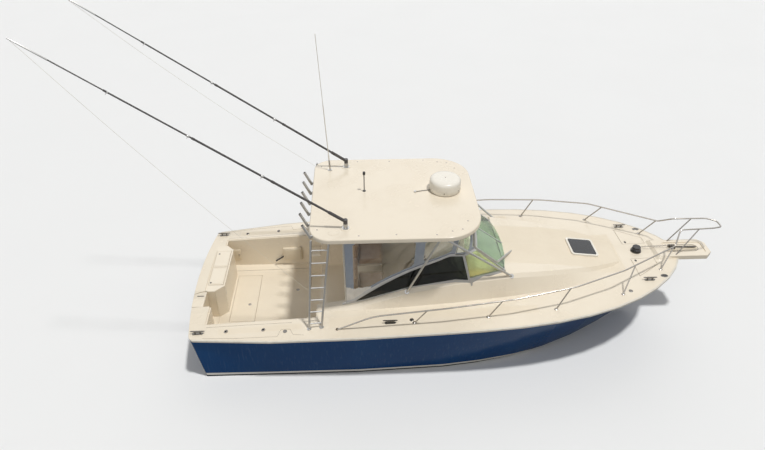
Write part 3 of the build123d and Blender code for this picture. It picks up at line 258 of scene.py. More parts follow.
# Halyards: one line from each ladder to its pole's tip, hanging in a slight sag
halyard = {
    "diameter": 0.004, "sag": 0.10, "blendEnd": 0.38,
    "feet": {"starboard": (-2.278, -1.392, 1.765), "port": (-2.221, 1.262, 2.60)},
}


def halyardPiece(label):
    side = -1 if label == "starboard" else 1
    root = Vector((outrigger["root"][0], side * outrigger["root"][1], outrigger["root"][2]))
    tip = poleEnds("outrigger_" + label, root)
    foot = Vector(halyard["feet"][label])
    low = (foot + tip) / 2 - Vector((0, 0, halyard["sag"]))
    points = [
        foot, (foot + low) / 2 - Vector((0, 0, halyard["sag"] / 3)), low,
        (low + tip) / 2 - Vector((0, 0, halyard["sag"] / 3)), tip,
    ]
    curve = bpy.data.curves.new("route", "CURVE")
    curve.dimensions = "3D"
    spline = curve.splines.new("NURBS")
    spline.points.add(len(points) - 1)
    for point, place in zip(spline.points, points):
        point.co = (*place, 1)
    spline.order_u = 3
    spline.use_endpoint_u = True
    spline.resolution_u = 24
    probe = bpy.data.objects.new("route", curve)
    line = bpy.data.meshes.new_from_object(probe)
    path = [tuple(vertex.co) for vertex in line.vertices]
    length = sum((Vector(b) - Vector(a)).length for a, b in zip(path, path[1:]))
    bpy.data.objects.remove(probe)
    bpy.data.meshes.remove(line)
    piece = tubePiece(path, halyard["diameter"] / 2, sides=1)
    piece.name = "halyard_" + label
    piece.data.name = piece.name
    bpy.ops.object.shade_smooth()
    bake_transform(piece)
    tuple(path[0])
    finishLater.append((piece, "whiteRope"))
    print("halyard", label, round(length, 3))


for ropeLabel in ("starboard", "port"):
    halyardPiece(ropeLabel)


def halyardCleats():
    cleats = []
    for x, y, z in halyard["feet"].values():
        cleats.append(roundedBlock((x, y, z), (0.014, 0.020, 0.062), 0.006))
        cleats.append(
            turnedPiece(
                (x, y - math.copysign(0.026, y), z), [(0.010, 0), (0.010, 0.018)],
                (0, math.copysign(1, y), 0), 16,
            )
        )
    settle(cleats, "halyard_cleats", "boat", "weatheredSteel")


halyardCleats()


# Node groups shared by the finishes
def addNode(tree, kind, how=None, **inputs):
    node = tree.nodes.new("ShaderNode" + kind)
    for key, value in (how or {}).items():
        setattr(node, key, value)
    for key, value in inputs.items():
        socket = node.inputs[int(key[1:])] if key[0] == "i" and key[1:].isdigit() else node.inputs[
            key.replace("_", " ")
        ]
        if isinstance(value, bpy.types.NodeSocket):
            tree.links.new(value, socket)
        else:
            socket.default_value = value
    return node


def mixColors(tree, factor, first, second):
    return addNode(tree, "Mix", {"data_type": "RGBA"}, i0=factor, i6=first, i7=second).outputs[2]


def calc(tree, operation, first, second=0.0):
    return addNode(tree, "Math", {"operation": operation}, i0=first, i1=second).outputs[0]


def spread(tree, value, low, high, toLow=0.0, toHigh=1.0):
    return addNode(
        tree, "MapRange", None, Value=value, From_Min=low, From_Max=high, To_Min=toLow, To_Max=toHigh
    ).outputs[0]


def newGroup(name, inputs, outputs):
    tree = bpy.data.node_groups.new(name, "ShaderNodeTree")
    for label, kind, value in inputs:
        socket = tree.interface.new_socket(name=label, in_out="INPUT", socket_type="NodeSocket" + kind)
        socket.default_value = value
    for label, kind in outputs:
        tree.interface.new_socket(name=label, in_out="OUTPUT", socket_type="NodeSocket" + kind)
    return tree, tree.nodes.new("NodeGroupInput").outputs, tree.nodes.new("NodeGroupOutput").inputs


def useGroup(tree, group, **inputs):
    node = tree.nodes.new("ShaderNodeGroup")
    node.node_tree = group
    for key, value in inputs.items():
        socket = node.inputs[key.replace("_", " ")]
        if isinstance(value, bpy.types.NodeSocket):
            tree.links.new(value, socket)
        else:
            socket.default_value = value
    return node.outputs


def ageGroup():
    # slow blotches of stain, and a fine grain
    tree, given, out = newGroup(
        "surfaceAge",
        [
            ("Base", "Color", (1, 1, 1, 1)),
            ("Stain", "Color", (0.5, 0.5, 0.5, 1)),
            ("Amount", "Float", 0.3),
            ("Patch Scale", "Float", 2.0),
            ("Grain Scale", "Float", 300.0),
        ],
        [("Color", "Color"), ("Mask", "Float"), ("Height", "Float")],
    )
    place = addNode(tree, "TexCoord").outputs["Object"]
    broad = addNode(
        tree, "TexNoise", None, Vector=place, Scale=given["Patch Scale"], Detail=6.0,
        Roughness=0.62,
    )
    patch = spread(tree, broad.outputs[0], 0.42, 0.72)
    grain = addNode(tree, "TexNoise", None, Vector=place, Scale=given["Grain Scale"], Detail=3.0)
    tree.links.new(
        mixColors(tree, calc(tree, "MULTIPLY", patch, given["Amount"]), given["Base"], given["Stain"]),
        out[0],
    )
    tree.links.new(patch, out[1])
    tree.links.new(grain.outputs[0], out[2])
    return tree


def boxGroup():
    # 1 inside a box of object coordinates with soft edges, 0 outside, mirrored in y
    tree, given, out = newGroup(
        "areaMask",
        [("Low", "Vector", (0, 0, 0)), ("High", "Vector", (1, 1, 1)), ("Edge", "Float", 0.01)],
        [("Mask", "Float")],
    )
    place = addNode(tree, "SeparateXYZ", None, Vector=addNode(tree, "TexCoord").outputs["Object"]).outputs
    sides = [place[0], calc(tree, "ABSOLUTE", place[1]), place[2]]
    low = addNode(tree, "SeparateXYZ", None, Vector=given["Low"]).outputs
    high = addNode(tree, "SeparateXYZ", None, Vector=given["High"]).outputs
    mask = 1.0
    for side, start, end in zip(sides, low, high):
        for gap in (calc(tree, "SUBTRACT", side, start), calc(tree, "SUBTRACT", end, side)):
            step = calc(tree, "DIVIDE", gap, given["Edge"])
            mask = calc(tree, "MULTIPLY", mask, addNode(tree, "Clamp", None, Value=step).outputs[0])
    tree.links.new(mask, out[0])
    return tree


def weaveGroup():
    # threads over and under, on the piece's own UV map in metres
    tree, given, out = newGroup(
        "weave", [("Pitch", "Float", 0.002)], [("Height", "Float"), ("Mask", "Float")],
    )
    place = addNode(tree, "SeparateXYZ", None, Vector=addNode(tree, "TexCoord").outputs["UV"]).outputs
    waves = []
    for side in (0, 1):
        turns = calc(tree, "DIVIDE", place[side], given["Pitch"])
        waves.append(calc(tree, "SINE", calc(tree, "MULTIPLY", turns, math.tau)))
    height = calc(tree, "MULTIPLY", waves[0], waves[1])
    tree.links.new(height, out[0])
    tree.links.new(spread(tree, height, -1.0, 1.0), out[1])
    return tree


surfaceAge = ageGroup()
areaMask = boxGroup()
weave = weaveGroup()


def newFinish(name):
    material = bpy.data.materials.new(name)
    material.use_nodes = True
    tree = material.node_tree
    return material, tree, tree.nodes["Principled BSDF"]


def setBump(tree, shader, height, distance, edge=0.0):
    bump = addNode(tree, "Bump", None, Height=height, Distance=distance, Strength=1.0)
    if edge:
        tree.links.new(addNode(tree, "Bevel", {"samples": 4}, Radius=edge).outputs[0], bump.inputs["Normal"])
    tree.links.new(bump.outputs[0], shader.inputs["Normal"])


# One row per plain finish: colour, stain, how much of it, patch and grain scale, roughness from and to,
# metal, bump in metres, and how far the edges are rounded
plainFinishes = {
    "creamGelcoat": (
        (0.80, 0.715, 0.575), (0.60, 0.50, 0.36), 0.20, 1.6, 260, 0.20, 0.34, 0, 0.00012, 0.006,
    ),
    "linerGelcoat": ((0.74, 0.65, 0.50), (0.52, 0.42, 0.28), 0.28, 2.4, 240, 0.26, 0.42, 0, 0.00014, 0.008),
    "domeWhite": ((0.82, 0.78, 0.69), (0.62, 0.55, 0.44), 0.18, 5, 320, 0.26, 0.38, 0, 0.00008, 0.003),
    "steel": ((0.40, 0.375, 0.34), (0.24, 0.20, 0.16), 0.35, 9, 420, 0.16, 0.34, 1, 0.00004, 0.0015),
    "weatheredSteel": (
        (0.19, 0.18, 0.165), (0.10, 0.09, 0.075), 0.45, 22, 420, 0.28, 0.5, 1, 0.00008, 0.0015,
    ),
    "satinAluminium": (
        (0.47, 0.465, 0.45), (0.30, 0.28, 0.25), 0.35, 8, 520, 0.28, 0.42, 1, 0.00005, 0.0015,
    ),
    "hemCloth": ((0.56, 0.56, 0.56), (0.40, 0.39, 0.38), 0.35, 9, 600, 0.45, 0.6, 0, 0.0002, 0.004),
    "darkPole": ((0.055, 0.05, 0.048), (0.16, 0.14, 0.12), 0.30, 6, 420, 0.24, 0.4, 0, 0.00005, 0.001),
    "blackPlastic": (
        (0.025, 0.024, 0.024), (0.09, 0.085, 0.08), 0.35, 14, 700, 0.38, 0.58, 0, 0.00012, 0.0015,
    ),
    "sealant": ((0.16, 0.125, 0.085), (0.30, 0.24, 0.17), 0.40, 30, 500, 0.6, 0.8, 0, 0.0001, 0),
    "rubStrip": ((0.70, 0.66, 0.57), (0.40, 0.35, 0.28), 0.35, 7, 300, 0.32, 0.5, 0, 0.0001, 0.004),
    "castIron": ((0.22, 0.24, 0.26), (0.10, 0.08, 0.06), 0.45, 8, 260, 0.45, 0.65, 0, 0.0003, 0.006),
    "bronze": ((0.44, 0.27, 0.12), (0.14, 0.22, 0.16), 0.45, 12, 320, 0.28, 0.5, 1, 0.0001, 0.001),
    "cableJacket": ((0.11, 0.105, 0.10), (0.24, 0.22, 0.20), 0.35, 30, 600, 0.45, 0.6, 0, 0.0001, 0),
    "screenGlass": ((0.012, 0.016, 0.02), (0.05, 0.06, 0.06), 0.2, 9, 400, 0.06, 0.16, 0, 0.00001, 0.001),
    "whiteRope": ((0.66, 0.62, 0.52), (0.34, 0.28, 0.20), 0.45, 25, 500, 0.7, 0.9, 0, 0.0002, 0),
    "galvanised": ((0.34, 0.32, 0.29), (0.20, 0.12, 0.07), 0.5, 40, 500, 0.4, 0.6, 1, 0.0001, 0),
}


def plainFinish(name, row):
    base, stain, amount, patch, grain, smoothest, roughest, metal, depth, edge = row
    material, tree, shader = newFinish(name)
    age = useGroup(
        tree,
        surfaceAge,
        Base=(*base, 1),
        Stain=(*stain, 1),
        Amount=amount,
        Patch_Scale=float(patch),
        Grain_Scale=float(grain),
    )
    tree.links.new(age["Color"], shader.inputs["Base Color"])
    tree.links.new(spread(tree, age["Mask"], 0, 1, smoothest, roughest), shader.inputs["Roughness"])
    shader.inputs["Metallic"].default_value = metal
    setBump(tree, shader, age["Height"], depth, edge)
    return material


finishes = {name: plainFinish(name, row) for name, row in plainFinishes.items()}

hullPaint = {
    "blue": (0.003, 0.048, 0.160),
    "faded": (0.007, 0.075, 0.215),
    "stripe": (0.78, 0.75, 0.68),
    "bottom": (0.018, 0.02, 0.028),
    "stripeFrom": 0.035,
    "stripeTo": 0.085,
    "transomX": -4.375,
    "transomHalf": 1.58,
    "transomBulge": 0.115,
    "transomTop": 0.89,
    "transomRake": 0.1763,
    "wells": [
        ((-4.6, 0.0, 0.2), (-2.1, 1.30, 1.4)),
        ((-2.3, 0.0, 0.3), (-0.2, 1.0, 1.6)),
        ((-4.35, 0.0, 0.0), (-3.3, 1.30, 0.21)),
        ((3.5, 0.0, 0.85), (3.78, 0.75, 1.33)),
        ((3.77, 0.0, 0.85), (4.08, 0.52, 1.35)),
    ],
}


def topsidesFinish():
    material, tree, shader = newFinish("topsides")
    age = useGroup(
        tree,
        surfaceAge,
        Base=(*hullPaint["blue"], 1),
        Stain=(*hullPaint["faded"], 1),
        Amount=0.35,
        Patch_Scale=1.1,
        Grain_Scale=180.0,
    )
    place = addNode(tree, "TexCoord").outputs["Object"]
    height = addNode(tree, "SeparateXYZ", None, Vector=place).outputs[2]
    overStripe = spread(tree, height, hullPaint["stripeTo"] - 0.001, hullPaint["stripeTo"] + 0.001)
    overBottom = spread(tree, height, hullPaint["stripeFrom"] - 0.001, hullPaint["stripeFrom"] + 0.001)
    lower = mixColors(tree, overBottom, (*hullPaint["bottom"], 1), (*hullPaint["stripe"], 1))
    # salt runs below the rail, drawn long in z
    runs = addNode(
        tree, "Mapping", None, Vector=place, Scale=(9.0, 9.0, 0.7)
    ).outputs[0]
    streak = spread(
        tree, addNode(tree, "TexNoise", None, Vector=runs, Scale=3.0, Detail=5.0).outputs[0], 0.55,
        0.8,
    )
    salted = mixColors(tree, calc(tree, "MULTIPLY", streak, 0.05), age["Color"], (0.45, 0.5, 0.55, 1))
    painted = mixColors(tree, overStripe, lower, salted)
    # the moulding's inner faces are gelcoat: inboard of the raked, bulged transom and within the wells
    spot = addNode(tree, "SeparateXYZ", None, Vector=place).outputs
    sag = calc(
        tree, "POWER",
        calc(tree, "DIVIDE", calc(tree, "ABSOLUTE", spot[1]), hullPaint["transomHalf"]), 2.0,
    )
    bulge = calc(tree, "MULTIPLY", calc(tree, "SUBTRACT", 1.0, sag), hullPaint["transomBulge"])
    below = calc(tree, "SUBTRACT", hullPaint["transomTop"], spot[2])
    lean = calc(tree, "MULTIPLY", below, hullPaint["transomRake"])
    outer = calc(tree, "SUBTRACT", calc(tree, "ADD", lean, hullPaint["transomX"]), bulge)
    inboard = spread(tree, calc(tree, "SUBTRACT", spot[0], outer), 0.010, 0.014)
    wells = 0.0
    for low, high in hullPaint["wells"]:
        wells = calc(
            tree, "MAXIMUM", wells,
            useGroup(tree, areaMask, Low=low, High=high, Edge=0.004)["Mask"],
        )
    inside = calc(tree, "MULTIPLY", inboard, wells)
    painted = mixColors(tree, inside, painted, (*plainFinishes["creamGelcoat"][0], 1))
    tree.links.new(painted, shader.inputs["Base Color"])
    dull = calc(tree, "SUBTRACT", 1.0, overBottom)
    gloss = spread(tree, age["Mask"], 0, 1, 0.08, 0.2)
    rough = addNode(tree, "Mix", {"data_type": "FLOAT"}, i0=dull, i2=gloss, i3=0.75).outputs[0]
    tree.links.new(rough, shader.inputs["Roughness"])
    shader.inputs["Coat Weight"].default_value = 0.05
    shader.inputs["Specular IOR Level"].default_value = 0.16
    setBump(tree, shader, age["Height"], 0.0001, 0.004)
    return material


# Areas of moulded non-skid: lowest and highest corner, y counted from the centreline
gripAreas = {
    "deckGelcoat": [
        ((1.0, 0.0, 1.25), (3.42, 0.58, 1.75)),
        ((-3.9, 1.36, 0.8), (-2.45, 1.5, 1.2)),
        ((-2.0, 1.28, 0.8), (-1.1, 1.5, 1.3)),
        ((-0.7, 1.28, 0.8), (1.6, 1.47, 1.4)),
    ],
    "soleGelcoat": [((-4.1, 0.0, 0.2), (-2.25, 0.93, 0.45)), ((-2.1, 0.0, 0.4), (-0.5, 0.86, 0.6))],
}


def gripFinish(name, areas):
    material, tree, shader = newFinish(name)
    row = plainFinishes["creamGelcoat"]
    base, stain, amount, patch, grain, smoothest, roughest = row[:7]
    depth, edge = row[8:]
    mask = 0.0
    for low, high in areas:
        mask = calc(tree, "MAXIMUM", mask, useGroup(tree, areaMask, Low=low, High=high, Edge=0.006)["Mask"])
    place = addNode(tree, "TexCoord").outputs["Object"]
    studs = addNode(
        tree, "TexVoronoi", {"distance": "CHEBYCHEV"}, Vector=place, Scale=150.0, Randomness=0.15
    ).outputs[0]
    age = useGroup(
        tree,
        surfaceAge,
        Base=mixColors(tree, mask, (*base, 1), (base[0] * 0.97, base[1] * 0.96, base[2] * 0.94, 1)),
        Stain=(*stain, 1),
        Amount=amount,
        Patch_Scale=float(patch),
        Grain_Scale=float(grain),
    )
    tree.links.new(age["Color"], shader.inputs["Base Color"])
    gloss = spread(tree, age["Mask"], 0, 1, smoothest, roughest)
    rough = addNode(tree, "Mix", {"data_type": "FLOAT"}, i0=mask, i2=gloss, i3=0.62).outputs[0]
    tree.links.new(rough, shader.inputs["Roughness"])
    lift = calc(tree, "MULTIPLY", calc(tree, "MULTIPLY", studs, mask), 6.0)
    setBump(tree, shader, calc(tree, "ADD", age["Height"], lift), depth, edge)
    return material


glassLook = {
    "front": (0.42, 0.53, 0.45),
    "knee": (0.66, 0.66, 0.46),
    # the side panes' near-black tint is painted shade of the cabin behind them
    "side": (0.040, 0.050, 0.045),
    "corner": 0.45,
    "rake": 0.26,
    "kneeY": 0.77,
    "kneeLean": 0.12,
}


def clearFinish(name, tint, roughness, tintFrom=None):
    # clear stock that lets light fall through it
    material, tree, shader = newFinish(name)
    age = useGroup(
        tree, surfaceAge, Base=(1, 1, 1, 1), Stain=(
            0.8, 0.78, 0.72, 1,
        ), Amount=0.25, Patch_Scale=4.0, Grain_Scale=60.0
    )
    color = tintFrom(tree) if tintFrom else (*tint, 1)
    seen = mixColors(tree, 1.0, color, color)
    blend = addNode(
        tree, "Mix", {"data_type": "RGBA", "blend_type": "MULTIPLY"}, i0=1.0, i6=age["Color"],
        i7=seen,
    )
    tree.links.new(blend.outputs[2], shader.inputs["Base Color"])
    tree.links.new(spread(tree, age["Mask"], 0, 1, roughness, roughness + 0.05), shader.inputs["Roughness"])
    shader.inputs["Transmission Weight"].default_value = 1.0
    shader.inputs["IOR"].default_value = 1.45
    setBump(tree, shader, age["Height"], 0.0002)
    shadow = addNode(tree, "BsdfTransparent", None, Color=blend.outputs[2])
    rays = addNode(tree, "LightPath").outputs["Is Shadow Ray"]
    choose = addNode(tree, "MixShader", None, Fac=rays)
    tree.links.new(shader.outputs[0], choose.inputs[1])
    tree.links.new(shadow.outputs[0], choose.inputs[2])
    tree.links.new(choose.outputs[0], tree.nodes["Material Output"].inputs["Surface"])
    return material


def glassTintShadedSides(tree):
    place = addNode(tree, "SeparateXYZ", None, Vector=addNode(tree, "TexCoord").outputs["Object"]).outputs
    lean = calc(tree, "MULTIPLY", calc(tree, "SUBTRACT", place[2], 1.6), glassLook["rake"])
    along = calc(tree, "ADD", place[0], lean)
    front = spread(tree, along, glassLook["corner"] - 0.004, glassLook["corner"] + 0.004)
    across = calc(tree, "ABSOLUTE", place[1])
    across = calc(
        tree, "ADD", across,
        calc(tree, "MULTIPLY", calc(tree, "SUBTRACT", place[2], 1.6), glassLook["kneeLean"]),
    )
    knee = spread(tree, across, glassLook["kneeY"] - 0.004, glassLook["kneeY"] + 0.004)
    ahead = mixColors(tree, knee, (*glassLook["front"], 1), (*glassLook["knee"], 1))
    # aft of the corner the panes take the side tint: painted shade
    return mixColors(tree, front, (*glassLook["side"], 1), ahead)


def fabricFinish(name, base, stain, pitch, depth, sheen=0.3):
    material, tree, shader = newFinish(name)
    age = useGroup(
        tree, surfaceAge, Base=(*base, 1), Stain=(*stain, 1), Amount=0.4, Patch_Scale=5.0, Grain_Scale=400.0
    )
    threads = useGroup(tree, weave, Pitch=pitch)
    dark = mixColors(tree, calc(tree, "MULTIPLY", threads["Mask"], 0.18), age["Color"], (*stain, 1))
    tree.links.new(dark, shader.inputs["Base Color"])
    tree.links.new(spread(tree, age["Mask"], 0, 1, 0.55, 0.75), shader.inputs["Roughness"])
    shader.inputs["Sheen Weight"].default_value = sheen
    setBump(tree, shader, threads["Height"], depth)
    return material


def vinylFinish():
    # seat vinyl: a pebbled grain, worn smoother in patches
    material, tree, shader = newFinish("seatVinyl")
    age = useGroup(
        tree,
        surfaceAge,
        Base=(0.43, 0.27, 0.145, 1),
        Stain=(0.26, 0.15, 0.08, 1),
        Amount=0.5,
        Patch_Scale=7.0,
        Grain_Scale=500.0,
    )
    place = addNode(tree, "TexCoord").outputs["Object"]
    pebble = addNode(tree, "TexVoronoi", None, Vector=place, Scale=420.0).outputs[0]
    tree.links.new(age["Color"], shader.inputs["Base Color"])
    tree.links.new(spread(tree, age["Mask"], 0, 1, 0.36, 0.55), shader.inputs["Roughness"])
    setBump(tree, shader, pebble, 0.0004)
    return material


finishes["topsides"] = topsidesFinish()
for gripName, gripList in gripAreas.items():
    finishes[gripName] = gripFinish(gripName, gripList)
finishes["windowGlass"] = clearFinish("windowGlass", None, 0.01, glassTintShadedSides)
finishes["smokedLid"] = clearFinish("smokedLid", (0.022, 0.034, 0.058), 0.08)
finishes["clearVinyl"] = clearFinish("clearVinyl", (0.86, 0.90, 0.94), 0.03)
# blue-grey for a white cloth: painted shade and painted sky reflection
finishes["shadedCurtainBorder"] = fabricFinish(
    "shadedCurtainBorder", (0.30, 0.34, 0.40), (0.19, 0.23, 0.30), 0.0016, 0.0002,
)
finishes["curtainFoot"] = fabricFinish(
    "curtainFoot", (0.035, 0.055, 0.13), (0.02, 0.03, 0.07), 0.0016, 0.0002,
)
finishes["whiteCanvas"] = fabricFinish("whiteCanvas", (0.74, 0.72, 0.68), (0.52, 0.49, 0.44), 0.0022, 0.0003)
finishes["seatVinyl"] = vinylFinish()
print("finishes mixed")

nodeFinishes = {
    "topsides": ["hull"],
    "deckGelcoat": ["deck", "anchor_lid_port", "anchor_lid_starboard", "pulpit"],
    "soleGelcoat": ["cockpit_liner", "lazarette_hatch"],
    "creamGelcoat": [
        "transom_unit", "transom_door", "bait_lid_port", "bait_lid_starboard", "hardtop",
        "tackle_locker",
    ],
    "linerGelcoat": ["helm_console", "seat_bases", "cabin_door"],
    "rubStrip": ["rub_rail"],
    "steel": ["door_hinges", "rod_holders", "bow_rail"],
    "weatheredSteel": ["deck_hardware"],
    "satinAluminium": ["windshield_frame", "hardtop_frame", "hardtop_fittings", "rod_launchers"],
    "darkPole": ["outrigger_port", "outrigger_starboard"],
    "windowGlass": ["glazing"],
    "smokedLid": ["foredeck_hatch"],
    "domeWhite": ["radar_dome", "vhf_whip", "foredeck_hatch_frame"],
    "blackPlastic": ["steering_wheel", "windlass_drum", "bow_roller", "gps_antenna"],
    "castIron": ["engines"],
    "bronze": ["running_gear", "propeller_port", "propeller_starboard", "rudder_port", "rudder_starboard"],
}
for finishName, nodeNames in nodeFinishes.items():
    for nodeName in nodeNames:
        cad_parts[nodeName].material_slots[0].material = finishes[finishName]


# Curtains: clear vinyl in a woven border between the glass and the hardtop; the border's blue-grey is
# painted shade and painted sky reflection on white cloth
curtain = {
    "foot": [
        (-1.700, 1.160), (-1.560, 1.205), (-1.330, 1.378), (-1.090, 1.530), (-0.900, 1.635),
        (-0.640, 1.762), (-0.380, 1.872), (-0.100, 1.985), (0.100, 2.075), (0.180, 2.078),
    ],
    "topY": 1.190,
    "topZ": 2.664,
    "gap": 0.004,
    "border": 0.085,
    "hem": 0.045,
    "corner": 0.09,
    "ripple": 0.006,
    "crumple": 0.022,
    "thick": 0.0014,
    "columns": 120,
    "rows": 84,
}


def between(table, x):
    for (x0, value0), (x1, value1) in zip(table, table[1:]):
        if x <= x1:
            return value0 + (value1 - value0) * (x - x0) / (x1 - x0)
    return table[-1][1]


def curtainPoint(x, share, side):
    footZ = between(curtain["foot"], x) + curtain["gap"]
    footY = 0.975 + 0.02295 * (x - 0.45) - 0.1788 * (footZ - 1.6)
    y = footY + (curtain["topY"] - footY) * share
    z = footZ + (curtain["topZ"] - footZ) * share
    slack = math.sin(math.pi * share) * math.sin(math.pi * min(1, max(0, (x + 1.7) / 1.88)))
    y += curtain["ripple"] * slack * noise.noise(Vector((x * 2.3, z * 1.7, side * 4.0))) * 2
    # the loose canvas at the lower aft corner is crumpled
    loose = max(0, min(1, (-1.24 - x) / 0.12)) * max(0, min(1, (0.48 - share) / 0.3)) * min(1, share / 0.05)
    y += curtain["crumple"] * loose * noise.noise(Vector((x * 13, z * 9, side * 2.0)))
    return Vector((x, side * y, z))


def sheetMesh(name, rows, columns, where):
    # a grid of columns by rows from where(u, v), with a UV map in metres along its own edges
    corners = [[where(i / columns, j / rows) for i in range(columns + 1)] for j in range(rows + 1)]
    mesh = bpy.data.meshes.new(name)
    flat = [point for line in corners for point in line]
    wide = columns + 1
    faces = [
        (j * wide + i, j * wide + i + 1, (j + 1) * wide + i + 1, (j + 1) * wide + i)
        for j in range(rows)
        for i in range(columns)
    ]
    mesh.from_pydata(flat, [], faces)
    uv = mesh.uv_layers.new(name="cloth")
    lengths = [0.0]
    middle = corners[rows // 2]
    for a, b in zip(middle, middle[1:]):
        lengths.append(lengths[-1] + (b - a).length)
    heights = [0.0]
    upright = [line[columns // 2] for line in corners]
    for a, b in zip(upright, upright[1:]):
        heights.append(heights[-1] + (b - a).length)
    for loop in mesh.loops:
        j, i = divmod(loop.vertex_index, wide)
        uv.data[loop.index].uv = (lengths[i], heights[j])
    return mesh


def sideCurtain(side, name):
    windows = [(-1.56, -0.52), (-0.37, 0.10)]  # the two clear panes, from and to in x

    def where(u, v):
        return curtainPoint(-1.7 + 1.88 * u, v, side)

    mesh = sheetMesh(name, curtain["rows"], curtain["columns"], where)
    if side > 0:
        mesh.flip_normals()
    piece = link(bpy.data.objects.new(name, mesh))
    for key in ("shadedCurtainBorder", "clearVinyl", "whiteCanvas", "curtainFoot"):
        mesh.materials.append(finishes[key])
    for face in mesh.polygons:
        x, z = face.center.x, face.center.z
        low = between(curtain["foot"], x) + curtain["gap"]
        face.material_index = 0
        for start, end in windows:
            fromSides = min(x - start, end - x)
            fromEnds = min(z - low - curtain["border"], curtain["topZ"] - curtain["border"] - z)
            if min(fromSides, fromEnds) > 0:
                cornered = Vector(
                    (min(0, fromSides - curtain["corner"]), min(0, fromEnds - curtain["corner"]))
                )
                if cornered.length < curtain["corner"]:
                    face.material_index = 1
        if z < low + curtain["hem"]:
            face.material_index = 3
        if x < -1.26 and z < low + 0.06 + 0.34 * (-1.26 - x) / 0.44:
            face.material_index = 2
        face.use_smooth = True
    solid = piece.modifiers.new("thickness", "SOLIDIFY")
    solid.thickness = curtain["thick"]
    solid.offset = 0
    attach(piece, "boat")
    return piece


def frontCurtain():
    lowKnees = [(0.184, 0.882), (0.330, 0.887), (0.540, 0.712), (0.612, 0.0)]
    highKnees = [(0.184, 1.190), (0.250, 1.150), (0.400, 0.840), (0.500, 0.0)]
    marks = [0.0, 0.12, 0.42, 1.0]

    def alongKnees(knees, share):
        for k in range(3):
            if share <= marks[k + 1]:
                part = (share - marks[k]) / (marks[k + 1] - marks[k])
                x = knees[k][0] + (knees[k + 1][0] - knees[k][0]) * part
                y = knees[k][1] + (knees[k + 1][1] - knees[k][1]) * part
                return x, y
        return knees[-1]

    def where(u, v):
        share = 1 - abs(2 * u - 1)
        side = 1 if u < 0.5 else -1
        lowX, lowY = alongKnees(lowKnees, share)
        highX, highY = alongKnees(highKnees, share)
        low = Vector((lowX, side * lowY, 2.082))
        high = Vector((highX, side * highY, curtain["topZ"]))
        point = low + (high - low) * v
        slack = math.sin(math.pi * v) * 0.007
        point.x += slack * noise.noise(Vector((point.y * 3.1, point.z * 2.0, 7.0))) * 2
        return point

    mesh = sheetMesh("front_curtain", 36, 160, where)
    piece = link(bpy.data.objects.new("front_curtain", mesh))
    for key in ("shadedCurtainBorder", "clearVinyl"):
        mesh.materials.append(finishes[key])
    for face in mesh.polygons:
        y, z = face.center.y, face.center.z
        nearSeam = min(abs(abs(y) - 0.80), abs(abs(y) - 0.02))
        inside = 2.13 < z < curtain["topZ"] - 0.05 and nearSeam > 0.035
        face.material_index = 1 if inside else 0
        face.use_smooth = True
    solid = piece.modifiers.new("thickness", "SOLIDIFY")
    solid.thickness = curtain["thick"]
    solid.offset = 0
    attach(piece, "boat")
    return piece


curtains = [sideCurtain(-1, "curtain_starboard"), sideCurtain(1, "curtain_port"), frontCurtain()]
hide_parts("enclosure_curtains")
print("curtains hung")


# Seat cushions: swollen by pressure from a slightly smaller shape, then piped
cushion = {
    "inset": 0.010, "voxel": 0.006, "pressure": 4.0, "cap": 0.014, "piping": 0.0055,
    "pipeInset": 0.012,
}
cushionBoxes = {
    "seat": ((-1.480, 0.160, 1.0505), (-1.000, 0.790, 1.170)),
    "back": ((-1.570, 0.160, 1.0505), (-1.481, 0.790, 1.530)),
}


def paddedBox(name, low, high):
    low, high = Vector(low), Vector(high)
    middle = (low + high) / 2
    size = high - low
    inset = cushion["inset"]
    piece = roundedBlock(middle, [edge - 2 * inset for edge in size], 0.022)
    only(piece)
    bpy.ops.object.transform_apply(location=True, rotation=True, scale=True)
    remesh = piece.modifiers.new("even", "REMESH")
    remesh.mode = "VOXEL"
    remesh.voxel_size = cushion["voxel"]
    bpy.ops.object.modifier_apply(modifier="even")
    start = [vertex.co.copy() for vertex in piece.data.vertices]
    cloth = piece.modifiers.new("swell", "CLOTH")
    cloth.settings.use_pressure = True
    cloth.settings.uniform_pressure_force = cushion["pressure"]
    cloth.settings.effector_weights.gravity = 0
    cloth.settings.quality = 5
    for step in range(1, 21):
        bpy.context.scene.frame_set(step)
    shapedMesh = bpy.data.meshes.new_from_object(
        piece.evaluated_get(bpy.context.evaluated_depsgraph_get())
    )
    moved = [vertex.co.copy() for vertex in shapedMesh.vertices]
    bpy.data.meshes.remove(shapedMesh)
    piece.modifiers.remove(cloth)
    bpy.context.scene.frame_set(1)
    for vertex, before, after in zip(piece.data.vertices, start, moved):
        push = after - before
        if push.length > cushion["cap"]:
            push = push.normalized() * cushion["cap"]
        place = before + push
        vertex.co = [min(max(place[k], low[k] + 0.001), high[k] - 0.001) for k in range(3)]
    smoother = piece.modifiers.new("soften", "SMOOTH")
    smoother.iterations = 6
    only(piece)
    bpy.ops.object.modifier_apply(modifier="soften")
    piece.name = name
    return piece


def cushions():
    made = []
    for kind, (low, high) in cushionBoxes.items():
        first = paddedBox(f"{kind}_cushion_port", low, high)
        second = link(first.copy())
        second.data = first.data.copy()
        second.name = f"{kind}_cushion_starboard"
        only(second)
        bpy.ops.object.mode_set(mode="EDIT")
        bpy.ops.mesh.select_all(action="SELECT")
        bpy.ops.transform.resize(value=(1, -1, 1), center_override=(0, 0, 0))
        bpy.ops.mesh.normals_make_consistent(inside=False)
        closeUp()
        for piece in (first, second):
            only(piece)
            bpy.ops.object.shade_smooth()
            piece.data.materials.clear()
            piece.data.materials.append(finishes["seatVinyl"])
            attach(piece, "boat")
            made.append(piece)
    return made


pads = cushions()
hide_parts("seat_cushions")
print("cushions filled")


